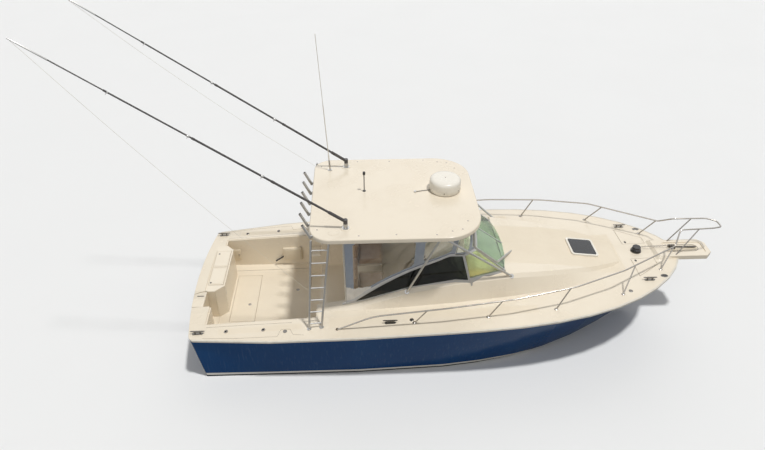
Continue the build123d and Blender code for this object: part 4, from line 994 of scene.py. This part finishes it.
# Small parts that are set down on the decks, and dark seams between mouldings
def seamLine(node, corners, radius=0.0022, step=0.07, high=4.0):
    spots = []
    for (x0, y0), (x1, y1) in zip(corners, corners[1:]):
        count = max(1, round(math.hypot(x1 - x0, y1 - y0) / step))
        spots += [(x0 + (x1 - x0) * k / count, y0 + (y1 - y0) * k / count) for k in range(count)]
    spots.append(corners[-1])
    return tubePiece([land(node, x, y, high)[0] for x, y in spots], radius)


def capOn(node, x, y, rings, sides=24, high=4.0):
    place, normal = land(node, x, y, high)
    return turnedPiece(place, rings, normal, sides)


def bandPiece(points, outward, wide, thick, sides=12):
    # a flat-sided band of padded trim along points, its thickness along outward
    rings = []
    outward = Vector(outward).normalized()
    for k, point in enumerate(points):
        along = (Vector(points[min(k + 1, len(points) - 1)]) - Vector(points[max(k - 1, 0)])).normalized()
        across = along.cross(outward).normalized()
        ring = []
        for turn in range(sides):
            angle = math.tau * turn / sides
            ring.append(
                Vector(point) + across * math.cos(angle) * wide / 2 + outward * math.sin(angle) * thick / 2
            )
        rings.append(ring)
    return loftPiece(rings)


def loftPiece(rings):
    mesh = bpy.data.meshes.new("loft")
    sides = len(rings[0])
    faces = [tuple(range(sides)), tuple(range((len(rings) - 1) * sides, len(rings) * sides))]
    for k in range(len(rings) - 1):
        for j in range(sides):
            step = (j + 1) % sides
            faces.append((k * sides + j, k * sides + step, (k + 1) * sides + step, (k + 1) * sides + j))
    mesh.from_pydata([corner for ring in rings for corner in ring], [], faces)
    piece = link(bpy.data.objects.new("loft", mesh))
    only(piece)
    bpy.ops.object.mode_set(mode="EDIT")
    bpy.ops.mesh.select_all(action="SELECT")
    bpy.ops.mesh.normals_make_consistent(inside=False)
    closeUp()
    return piece


def mirrored(piece):
    twin = link(piece.copy())
    twin.data = piece.data.copy()
    only(twin)
    bpy.ops.object.transform_apply(location=True, rotation=True, scale=True)
    bpy.ops.object.mode_set(mode="EDIT")
    bpy.ops.mesh.select_all(action="SELECT")
    bpy.ops.transform.resize(value=(1, -1, 1), center_override=(0, 0, 0))
    bpy.ops.mesh.normals_make_consistent(inside=False)
    closeUp()
    return twin


def bothSides(pieces):
    pieces = pieces if isinstance(pieces, list) else [pieces]
    return pieces + [mirrored(piece) for piece in pieces]


# Piping round each cushion's upper or forward edge
def pipedEdge(corners, flat):
    # corners are the two opposite ones of the edge's rectangle, flat the axis it lies across
    low, high = corners
    sides = [axis for axis in range(3) if axis != flat]
    edge = 0.022
    loop = []
    for turn, (u, v) in enumerate(((1, 1), (0, 1), (0, 0), (1, 0))):
        for step in (0, 30, 60, 90):
            angle = math.radians(90 * turn + step)
            point = Vector(low)
            for axis, end, reach in ((sides[0], u, math.cos(angle)), (sides[1], v, math.sin(angle))):
                inner = high[axis] - edge if end else low[axis] + edge
                point[axis] = inner + edge * reach
            loop.append(point)
    return tubePiece(loop, cushion["piping"], closed=True)


def cushionPiping():
    inset = cushion["pipeInset"]
    pipes = []
    for kind, (low, high) in cushionBoxes.items():
        flat = 2 if kind == "seat" else 0
        low, high = Vector(low) + Vector([inset] * 3), Vector(high) - Vector([inset] * 3)
        low[flat] = high[flat]
        pipes.append(pipedEdge((low, high), flat))
    settle(bothSides(pipes), "cushion_piping", "boat", "seatVinyl")


cushionPiping()


# Radar dome: an upright drum with a rounded shoulder on a dark gasket, its darkness partly painted shade
# under the drum
dome = {
    "centre": (0.080, 0.110),
    "shell": [(0.256, 0.012), (0.268, 0.013), (0.274, 0.022), (0.274, 0.104), (0.271, 0.107), (0.271, 0.112),
              (0.274, 0.115), (0.274, 0.168), (
                  0.2705, 0.192,
              ), (0.261, 0.212), (0.245, 0.226), (0.222, 0.2345),
              (0.180, 0.239), (0.110, 0.2415), (0.020, 0.242)],
    "gasket": [(0.248, 0.0), (0.252, 0.001), (0.252, 0.012), (0.248, 0.0135)],
    "plugHeight": 0.066,
    "plugs": 6,
}


def radarDome():
    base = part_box("radar_dome")[0][2]
    centre = Vector((*dome["centre"], base))
    shell = settle(turnedPiece(centre, dome["shell"], sides=96), "radar_shell", "boat", "domeWhite", 40)
    # the dark gasket band is partly painted shade of the recessed base
    settle(turnedPiece(centre, dome["gasket"], sides=96), "radar_gasket_and_shade", "boat", "sealant")
    plugs = [turnedPiece(centre + Vector((0, 0, 0.2415)), [(0.011, 0), (0.011, 0.002), (0.008, 0.003)])]
    for k in range(dome["plugs"]):
        angle = math.tau * (k + 0.35) / dome["plugs"]
        out = Vector((math.cos(angle), math.sin(angle), 0))
        spot = centre + out * 0.273 + Vector((0, 0, dome["plugHeight"]))
        plugs.append(turnedPiece(spot, [(0.011, 0), (0.011, 0.0016), (0.008, 0.0022)], out, 16))
    settle(plugs, "radar_plugs", "boat", "sealant")
    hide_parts("radar_dome")


radarDome()


# Hardtop: screw caps, and the plates over its sockets
hardtopCaps = [
    (-0.848, 1.185), (-0.20, 1.215), (0.060, 1.129), (0.232, 1.083), (0.347, 0.866), (-1.45, 1.20),
    (-2.12, 1.02),
]


def hardtopTrim():
    caps = [
        capOn("hardtop", x, y, [(0.014, -0.001), (0.014, 0.002), (0.011, 0.0035), (0.004, 0.0038)])
        for x, y in hardtopCaps
    ]
    settle(bothSides(caps), "hardtop_caps", "boat", "steel")
    plates = []
    for side in (-1, 1):
        place, normal = land("hardtop", -1.855, side * 1.12)
        plate = turnedPiece(
            place, [(0.060, -0.001), (0.060, 0.002), (0.056, 0.004), (0.050, 0.0045)], normal, 40,
        )
        plate.scale = (1.5, 1, 1)
        plates.append(plate)
        place, normal = land("hardtop", -1.66, side * 0.99)
        plates.append(
            turnedPiece(place, [(0.088, -0.001), (0.088, 0.003), (0.082, 0.006), (0.06, 0.007)], normal, 40)
        )
    settle(plates, "hardtop_plates", "boat", "creamGelcoat")


hardtopTrim()


def outriggerTrim(side, label):
    x, y, z = outrigger["root"]
    root = Vector((x, side * y, z))
    tip = poleEnds("outrigger_" + label, root)
    along = (tip - root).normalized()
    down = (Vector((0, 0, -1)) - along * Vector((0, 0, -1)).dot(along)).normalized()
    across = along.cross(down)
    pieces = []
    for share, radius in outrigger["rings"]:
        place = root + (tip - root) * share
        wide = radius + 0.003
        band = [(radius + 0.001, 0), (wide, 0.003), (wide, 0.037), (radius + 0.001, 0.04)]
        pieces.append(turnedPiece(place - along * 0.02, band, along, 20))
        loop = ringPoints(place + down * (radius + 0.016), down, across, 0.014)
        pieces.append(tubePiece(loop, 0.003, closed=True))
    start = root + (tip - root) * outrigger["tip"]
    long = (tip - start).length
    radius = outrigger["tipRadius"]
    pieces.append(
        turnedPiece(
            start,
            [(radius, 0), (radius + 0.0015, 0.004), (radius + 0.0015, long - 0.004), (radius, long)],
            along, 20,
        )
    )
    settle(pieces, f"outrigger_rings_{label}", f"outrigger_{label}", "satinAluminium")


for sideSign, sideLabel in ((-1, "starboard"), (1, "port")):
    outriggerTrim(sideSign, sideLabel)


def gpsAntenna():
    place, _ = land("hardtop", -1.340, 0.100)
    rings = [
        (0.030, -0.001), (0.030, 0.005), (0.020, 0.008), (0.011, 0.016), (0.0085, 0.030), (0.0085, 0.325),
        (0.020, 0.330), (0.0235, 0.336), (0.0235, 0.376), (0.020, 0.386), (0.010, 0.391),
    ]
    antenna = settle(turnedPiece(place, rings, sides=32), "gps_stem", "boat", "blackPlastic")
    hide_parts("gps_antenna")


gpsAntenna()


def whipFerrule():
    lean = Vector((-math.sin(math.radians(3)), 0, math.cos(math.radians(3))))
    start = Vector((-1.960, 0.880, 2.809))
    rings = [(0.013, 0.02), (0.016, 0.022), (0.016, 0.075), (0.0145, 0.08), (0.0145, 0.150), (0.012, 0.156)]
    settle(turnedPiece(start, rings, lean), "whip_ferrule", "vhf_whip", "steel")


whipFerrule()


# Cockpit: seams of the covering boards, lids' latches, drains and the sole's gutter
cockpitSeams = {
    "gunwale": [
        (-4.15, 1.55), (-3.6, 1.60), (-2.87, 1.625), (-2.812, 1.47), (-2.659, 1.475), (-2.60, 1.60),
        (-2.42, 1.63),
    ],
    # a dark line along the coaming's inner edge
    "coamingInnerLine": [(-4.12, 1.305), (-3.4, 1.312), (-2.64, 1.325)],
}


cockpit = {
    "gutter": [
        [(-4.05, -1.02), (-2.5, -1.06)], [(-4.05, 1.02), (-2.5, 1.06)],
        [(-2.44, -0.86), (-2.44, 0.86)],
    ],
    "gutterRadius": 0.003,
    "drains": [(-4.025, 0.765), (-4.027, -0.054), (-2.70, 0.377), (-2.70, -0.62)],
    "drainRings": [(0.034, -0.002), (0.034, 0.002), (0.029, 0.003), (0.026, 0.0005)],
    "pull": (-3.604, -0.025),
    "pullRings": [(0.030, -0.002), (0.030, 0.0015), (0.026, 0.0025), (0.024, 0.0005)],
    "lidLatches": {"port": (-4.225, 0.756, 0.372, 0.849), "starboard": (-4.245, -0.125, -0.159, 0.318)},
    "latchRings": [(0.017, -0.002), (0.017, 0.002), (0.013, 0.003), (0.011, 0.001)],
    "doorLatch": (-4.365, -0.49),
}


def cockpitTrim():
    seams = []
    for corners in cockpitSeams.values():
        for side in (-1, 1):
            seams.append(seamLine("deck", [(x, side * y) for x, y in corners]))
    settle(seams, "deck_seams", "boat", "sealant")
    gutter = [seamLine("cockpit_liner", line, cockpit["gutterRadius"]) for line in cockpit["gutter"]]
    settle(gutter, "sole_gutter", "boat", "sealant")
    drains = [capOn("cockpit_liner", x, y, cockpit["drainRings"]) for x, y in cockpit["drains"]]
    settle(drains, "sole_drains", "boat", "weatheredSteel")
    pull = [capOn("lazarette_hatch", *cockpit["pull"], cockpit["pullRings"])]
    place, _ = land("lazarette_hatch", *cockpit["pull"])
    ring = ringPoints(place + Vector((0, 0, 0.003)), Vector((1, 0, 0)), Vector((0, 1, 0)), 0.018)
    pull.append(tubePiece(ring, 0.0025, closed=True))
    settle(pull, "hatch_pull", "lazarette_hatch", "steel")
    for label, (x, y, low, high) in cockpit["lidLatches"].items():
        node = "bait_lid_" + label
        latch = capOn(node, x, y, cockpit["latchRings"])
        settle(latch, f"lid_latch_{label}", node, "blackPlastic")
        # a raised ring in the darker liner gelcoat: painted shade along the lid panel's edge
        corners = []
        inner = [(-4.045, high - 0.04), (-4.245, high - 0.04), (-4.245, low + 0.04), (-4.045, low + 0.04)]
        for quarter, (cx, cy) in enumerate(inner):
            for turn in (0, 30, 60, 90):
                angle = math.radians(90 * quarter + turn)
                corners.append((cx + 0.03 * math.cos(angle), cy + 0.03 * math.sin(angle)))
        border = tubePiece([land(node, x, y)[0] for x, y in corners], 0.0028, closed=True)
        settle(border, f"lid_shade_line_{label}", node, "linerGelcoat")
    slot = roundedBlock((*cockpit["doorLatch"], 0.9462), (0.120, 0.020, 0.0035), 0.0016)
    lift = roundedBlock((*cockpit["doorLatch"], 0.9485), (0.060, 0.010, 0.004), 0.0018)
    settle([slot, lift], "door_latch", "transom_door", "blackPlastic")
    door = [
        roundedBlock((-4.015, 1.223, 0.575), (0.21, 0.012, 0.26), 0.005),
        roundedBlock((-4.015, 1.217, 0.575), (0.17, 0.010, 0.22), 0.004),
    ]
    settle(bothSides(door), "side_boxes", "boat", "linerGelcoat")
    knobs = [
        turnedPiece((-3.95, 1.213, 0.575), [(0.016, 0), (0.016, 0.005), (0.012, 0.008)], (0, -1, 0), 20)
    ]
    settle(bothSides(knobs), "side_box_latches", "boat", "steel")


cockpitTrim()

# Foredeck and side decks: fills, latches, hawse holes and rail feet
deckCaps = {
    "fills": [(-0.580, -1.450), (3.309, -1.080), (0.30, 1.455)],
    "latches": [(3.676, 0.285), (3.676, -0.285)],
    "railFeet": [(-0.540, 1.520), (0.720, 1.500), (1.900, 1.420), (3.150, 1.150), (4.040, 0.560)],
}


def foredeckTrim():
    fill = [(0.036, -0.002), (0.036, 0.003), (0.032, 0.005), (0.030, 0.0035), (0.012, 0.0035)]
    settle(
        [capOn("deck", x, y, fill, 32) for x, y in deckCaps["fills"]], "deck_fills", "boat",
        "weatheredSteel",
    )
    for label, (x, y) in zip(("port", "starboard"), deckCaps["latches"]):
        node = "anchor_lid_" + label
        place, normal = land(node, x, y)
        latch = turnedPiece(
            place, [(0.020, -0.002), (0.020, 0.002), (0.016, 0.003), (0.013, 0.0005)], normal,
        )
        latch.scale = (1.0, 1.5, 1.0)
        settle(latch, f"anchor_latch_{label}", node, "blackPlastic")
    feet = []
    for x, y in deckCaps["railFeet"]:
        feet.append(
            capOn(
                "deck", x, y,
                [(0.034, -0.003), (0.034, 0.004), (0.028, 0.006), (0.016, 0.012), (0.0125, 0.020)],
            )
        )
        for turn in (45, 135, 225, 315):
            angle = math.radians(turn)
            feet.append(
                capOn(
                    "deck", x + 0.027 * math.cos(angle), y + 0.027 * math.sin(angle),
                    [(0.004, 0.003), (0.004, 0.0065), (0.002, 0.0075)], 8,
                )
            )
    settle(bothSides(feet), "rail_feet", "boat", "steel")
    hawse = []
    for side in (-1, 1):
        place, normal = land("deck", 4.045, side * 0.725)
        ring = turnedPiece(
            place,
            [
                (0.030, -0.004), (0.048, -0.004), (0.050, 0.002), (0.044, 0.006), (0.034, 0.006),
                (0.030, -0.002),
            ],
            normal, 32,
        )
        ring.scale = (1.35, 0.85, 1.0)
        hawse.append(ring)
    settle(hawse, "hawse_rings", "boat", "weatheredSteel")
    # black discs inside the hawse rings: painted shade of the open holes
    holeShades = []
    for side in (-1, 1):
        place, normal = land("deck", 4.045, side * 0.725)
        holeShade = turnedPiece(place, [(0.032, -0.002), (0.032, 0.0025), (0.028, 0.003)], normal, 32)
        holeShade.scale = (1.35, 0.85, 1.0)
        holeShades.append(holeShade)
    settle(holeShades, "hawse_hole_shade", "boat", "blackPlastic")


foredeckTrim()

# Pulpit: faired into the deck, with the anchor's shank in its channel and the chain over the roller
pulpit = {
    "root": 4.12,
    "half": 0.255,
    "end": 4.37,
    "top": 1.4315,
    "reach": 0.068,
    "channel": [(4.44, 0.105), (4.84, 0.105), (4.91, 0.09), (4.955, 0.045), (4.965, 0.0)],
    "floor": 1.418,
}


def pulpitFairing():
    route = [(pulpit["end"], pulpit["half"], 0, 1)]
    for k in range(1, 7):
        route.append((pulpit["end"] + (pulpit["root"] - pulpit["end"]) * k / 6, pulpit["half"], 0, 1))
    for k in range(1, 7):
        angle = math.radians(90 * k / 6)
        route.append((pulpit["root"], pulpit["half"], -math.sin(angle), math.cos(angle)))
    half = route[:]
    route += [(x, -y, dx, -dy) for x, y, dx, dy in reversed(half)]
    rings = []
    for x, y, dx, dy in route:
        share = min(1, (pulpit["end"] - x) / 0.15 + 0.12)
        reach = pulpit["reach"] * share
        line = []
        for k in range(9):
            v = k / 8
            px, py = x + dx * reach * v, y + dy * reach * v
            deckZ = land("deck", px, py)[0].z - 0.002
            top = pulpit["top"] - 0.006
            blend = v * v * (3 - 2 * v)
            line.append(
                Vector((px - dx * 0.012 * (1 - v), py - dy * 0.012 * (1 - v), top + (deckZ - top) * blend))
            )
        under = Vector((line[-1].x, line[-1].y, line[-1].z - 0.02))
        inner = Vector((line[0].x, line[0].y, line[-1].z - 0.02))
        rings.append(line + [under, inner])
    settle(loftPiece(rings), "pulpit_fairing", "boat", "creamGelcoat", 50)


def anchorGear():
    half = pulpit["channel"]
    outline = half + [(x, -y) for x, y in reversed(half[:-1])]
    bead = tubePiece([(x, y, pulpit["floor"] + 0.002) for x, y in outline], 0.004, smooth=True)
    settle(bead, "channel_bead", "boat", "sealant")
    inner = [(x - 0.018, y * 0.78) for x, y in outline]
    rings = [
        [Vector((x, y, pulpit["floor"] - 0.001)) for x, y in inner],
        [Vector((x, y, pulpit["floor"] + 0.0025)) for x, y in inner],
    ]
    settle(loftPiece(rings), "channel_mat", "boat", "linerGelcoat")
    shank = []
    stations = [
        (4.54, 0.009, 0.013, 1.455), (4.62, 0.011, 0.016, 1.450), (4.76, 0.012, 0.018, 1.445),
        (4.87, 0.014, 0.017, 1.442), (4.92, 0.010, 0.010, 1.440),
    ]
    for x, wide, tall, z in stations:
        ring = []
        for k in range(12):
            angle = math.tau * k / 12
            ring.append(
                Vector(
                    (
                        x, wide * math.copysign(abs(math.cos(angle)) ** 0.5, math.cos(angle)),
                        z + tall * math.copysign(abs(math.sin(angle)) ** 0.5, math.sin(angle)),
                    )
                )
            )
        shank.append(ring)
    bar = [loftPiece(shank)]
    eyeRing = ringPoints(Vector((4.505, 0, 1.462)), Vector((1, 0, 0)), Vector((0, 0, 1)), 0.022)
    bar.append(tubePiece(eyeRing, 0.006, closed=True))
    settle(bar, "anchor_shank", "boat", "weatheredSteel")


chain = {
    "path": [(3.872, 0.045, 1.432), (4.00, 0.035, 1.446), (4.15, 0.02, 1.462), (4.34, 0.006, 1.484),
             (4.45, 0.0, 1.494), (4.505, 0.0, 1.484)],
    "pitch": 0.026,
}


def anchorChain():
    path = [Vector(spot) for spot in chain["path"]]
    lengths = [0.0]
    for a, b in zip(path, path[1:]):
        lengths.append(lengths[-1] + (b - a).length)
    pitch = chain["pitch"]
    links = []
    first = tubePiece(
        [
            (0.017 * math.copysign(abs(math.cos(a)) ** 0.7, math.cos(a)), 0.0105 * math.sin(a), 0)
            for a in (math.tau * k / 14 for k in range(14))
        ],
        0.0034, closed=True, sides=1,
    )
    for count in range(int(lengths[-1] / pitch)):
        along = (count + 0.5) * pitch
        k = max(j for j in range(len(lengths) - 1) if lengths[j] <= along)
        share = (along - lengths[k]) / (lengths[k + 1] - lengths[k])
        place = path[k] + (path[k + 1] - path[k]) * share
        toward = (path[k + 1] - path[k]).normalized()
        copyLink = link(first.copy())
        copyLink.data = first.data.copy()
        roll = Matrix.Rotation(math.radians(45 if count % 2 else -45), 4, "X")
        copyLink.matrix_world = Matrix.Translation(place) @ Vector(
            (1, 0, 0)
        ).rotation_difference(toward).to_matrix().to_4x4() @ roll
        links.append(copyLink)
    bpy.data.objects.remove(first)
    settle(links, "anchor_chain", "boat", "galvanised")


pulpitFairing()
anchorGear()
anchorChain()
print("deck gear set")


# Windshield: padded hems along the side glass, poles at the curtains' aft edges
def glassSide(x, z):
    return 0.975 + 0.02295 * (x - 0.45) - 0.1788 * (z - 1.6)


def windshieldTrim():
    foot = curtain["foot"]
    stations = []
    for (x0, z0), (x1, z1) in zip(foot, foot[1:]):
        for k in range(4):
            share = k / 4
            stations.append((x0 + (x1 - x0) * share, z0 + (z1 - z0) * share))
    stations.append(foot[-1])
    points = [(x, glassSide(x, z) + 0.004, z + 0.006) for x, z in stations]
    hem = bandPiece(points, (-0.02295, 1, 0.1788), 0.062, 0.020, 14)
    settle(bothSides(hem), "curtain_hems", "boat", "hemCloth", 60)
    lowY = glassSide(-1.70, 1.16)
    pole = tubePiece(
        [(-1.706, lowY, 1.165), (-1.706, lowY + (1.19 - lowY) * 0.5, 1.90), (-1.706, 1.186, 2.66)],
        0.016,
    )
    shoe = roundedBlock((-1.706, lowY + 0.002, 1.172), (0.05, 0.045, 0.03), 0.008)
    head = roundedBlock((-1.706, 1.184, 2.655), (0.05, 0.05, 0.03), 0.008)
    settle(bothSides([pole, shoe, head]), "curtain_poles", "boat", "satinAluminium")
    brace = tubePiece(
        [(0.02, glassSide(0.02, 1.98) - 0.03, 1.98), (0.38, glassSide(0.38, 1.62) - 0.03, 1.62)],
        0.011,
    )
    settle(bothSides(brace), "glass_braces", "boat", "satinAluminium")


windshieldTrim()

# Helm: a screen, gauges, switches, throttles and a compass round the wheel
helm = {
    "slope": (-0.68, 0.0, 0.74),
    "screen": (-0.268, -0.62, 1.536),
    "switches": [(-0.52 + 0.034 * k, 1.19) for k in range(6)],
}


def helmTrim():
    lean = math.degrees(math.atan2(0.68, 0.74))
    bezels = [roundedBlock(helm["screen"], (0.115, 0.30, 0.012), 0.004, (0, -lean, 0))]
    for y in (-0.235, -0.325):
        place, normal = land("helm_console", -0.265, y)
        bezels.append(
            turnedPiece(place, [(0.034, -0.002), (0.034, 0.005), (0.029, 0.008), (0.027, 0.004)], normal, 28)
        )
    screens = [
        roundedBlock(
            Vector(helm["screen"]) + Vector(helm["slope"]) * 0.0065, (0.095, 0.27, 0.004), 0.0015,
            (0, -lean, 0),
        )
    ]
    for y in (-0.235, -0.325):
        place, normal = land("helm_console", -0.265, y)
        screens.append(
            turnedPiece(place + normal * 0.003, [(0.0265, 0), (0.0265, 0.0025), (0.020, 0.0035)], normal, 28)
        )
    for x, y in ((-0.22, -0.74), (-0.22, -0.79)):
        place, normal = land("helm_console", x, y)
        screens.append(turnedPiece(place, [(0.016, -0.001), (0.016, 0.004), (0.012, 0.006)], normal, 20))
    settle(bezels, "helm_bezels", "boat", "blackPlastic")
    settle(screens, "helm_screens", "boat", "screenGlass")
    rows = []
    for y, z in helm["switches"]:
        place, normal = land("helm_console", -1.2, y - 0.10, z + 0.05, (1, 0, 0))
        rows.append(roundedBlock(place + normal * 0.003, (0.010, 0.018, 0.030), 0.003, (0, 18, 0)))
    settle(rows, "helm_switches", "boat", "blackPlastic")
    levers = []
    place, normal = land("helm_console", -1.2, -0.20, 1.30, (1, 0, 0))
    levers.append(roundedBlock(place + normal * 0.012, (0.030, 0.085, 0.10), 0.010, (0, 18, 0)))
    for y in (-0.222, -0.178):
        root = place + normal * 0.020 + Vector((0, y + 0.20, 0.01))
        top = root + Vector((-0.050, 0, 0.120))
        levers.append(tubePiece([root, top], 0.006))
        levers.append(
            turnedPiece(
                top, [(0.008, -0.004), (0.014, 0.004), (0.015, 0.022), (0.009, 0.034)],
                (top - root).normalized(), 20,
            )
        )
    settle(levers, "helm_throttles", "boat", "steel")
    place, normal = land("helm_console", -0.10, -0.475)
    bowl = [
        (0.055, -0.002), (0.055, 0.010), (0.047, 0.014), (0.047, 0.020), (0.045, 0.036),
        (0.036, 0.052), (0.020, 0.061), (0.005, 0.064),
    ]
    settle(turnedPiece(place, bowl, normal, 32), "helm_compass", "boat", "screenGlass")


helmTrim()


def cabinDoorHandle():
    place, normal = land("cabin_door", -1.2, 0.05, 0.98, (1, 0, 0))
    plate = roundedBlock(place + normal * 0.002, (0.006, 0.050, 0.110), 0.002)
    stem = place + normal * 0.004
    lever = tubePiece([stem, stem + normal * 0.040, stem + normal * 0.040 + Vector((0, 0.075, 0))], 0.007)
    settle([plate, lever], "cabin_door_handle", "cabin_door", "steel")
    place, normal = land("cabin_door", -1.2, 0.27, 1.18, (1, 0, 0))
    louvres = [
        roundedBlock(
            place + normal * 0.002 + Vector((0, 0, -0.02 * k)), (0.010, 0.26, 0.010), 0.003,
            (0, 30, 0),
        )
        for k in range(5)
    ]
    settle(louvres, "cabin_door_louvres", "cabin_door", "linerGelcoat")


cabinDoorHandle()


# Hull: an exhaust with its rim on each side of the transom, a black disc of painted shade in its mouth
exhaust = {"place": (0.62, 0.19)}


def hullTrim():
    place, normal = land("hull", -6.0, *exhaust["place"], (1, 0, 0))
    rim = [(0.050, -0.002), (0.076, -0.002), (0.078, 0.005), (0.070, 0.012), (0.056, 0.014), (0.052, 0.004)]
    settle(bothSides(turnedPiece(place, rim, normal, 40)), "exhaust_rims", "boat", "steel")
    # a black disc in the exhaust: painted shade of the open pipe
    holeShade = [(0.054, -0.001), (0.054, 0.003), (0.044, 0.0035)]
    settle(bothSides(turnedPiece(place, holeShade, normal, 40)), "exhaust_hole_shade", "boat", "blackPlastic")


hullTrim()


def wallBox():
    # the washdown tap's box on the port wall
    box = roundedBlock((-2.84, 1.196, 0.59), (0.38, 0.058, 0.30), 0.012)
    face = roundedBlock((-2.84, 1.166, 0.59), (0.32, 0.008, 0.24), 0.003)
    settle([box, face], "washdown_box", "boat", "linerGelcoat")
    settle(
        tubePiece([(-3.20, 1.19, 0.41), (-3.03, 1.185, 0.53)], 0.014), "washdown_nozzle", "boat",
        "blackPlastic",
    )


wallBox()

# Studio: pale floor at the waterline, soft lamps from above and ahead
studio = {
    "floor": (0.80, 0.80, 0.79),
    "bounce": (0.34, 0.34, 0.335),
    "lamps": [
        ("key", (0.252, -0.16, 1.0), 4.0, 2.22),
        ("fill", (-0.6, -1.0, 0.75), 50.0, 0.46),
        ("rim", (0.2, 1.0, 0.8), 50.0, 0.35),
    ],
    "sky": 0.24,
}


def floorFinish():
    # paler to the eye than in what it throws back on the boat
    material, tree, shader = newFinish("studioFloor")
    seen = addNode(tree, "LightPath").outputs["Is Camera Ray"]
    base = mixColors(tree, seen, (*studio["bounce"], 1), (*studio["floor"], 1))
    age = useGroup(
        tree, surfaceAge, Base=base, Stain=(
            0.77, 0.77, 0.76, 1,
        ), Amount=0.15, Patch_Scale=0.4, Grain_Scale=30.0
    )
    tree.links.new(age["Color"], shader.inputs["Base Color"])
    tree.links.new(spread(tree, age["Mask"], 0, 1, 0.7, 0.8), shader.inputs["Roughness"])
    return material


bpy.ops.mesh.primitive_plane_add(size=160, location=(0, 0, 0))
floor = bpy.context.object
floor.name = "floor"
floor.data.materials.append(floorFinish())
for lampName, lampFrom, lampAngle, lampPower in studio["lamps"]:
    lamp = link(bpy.data.objects.new(lampName, bpy.data.lights.new(lampName, "SUN")))
    lamp.data.angle = math.radians(lampAngle)
    lamp.data.energy = lampPower
    lamp.rotation_euler = (-Vector(lampFrom)).to_track_quat("-Z", "Y").to_euler()
world = bpy.data.worlds.new("studio")
bpy.context.scene.world = world
world.use_nodes = True
sky = world.node_tree
rays = addNode(sky, "LightPath").outputs
plainRay = calc(
    sky, "MAXIMUM", rays["Is Camera Ray"], calc(
        sky, "MAXIMUM", rays["Is Glossy Ray"], rays["Is Transmission Ray"],
    )
)
sky.nodes["Background"].inputs["Color"].default_value = (0.97, 0.98, 1.0, 1)
sky.links.new(spread(sky, plainRay, 0, 1, studio["sky"], 1.0), sky.nodes["Background"].inputs["Strength"])
print("studio lit")

for piece, finishName in finishLater:
    if piece.data.materials:
        piece.data.materials.clear()
    piece.data.materials.append(finishes[finishName])
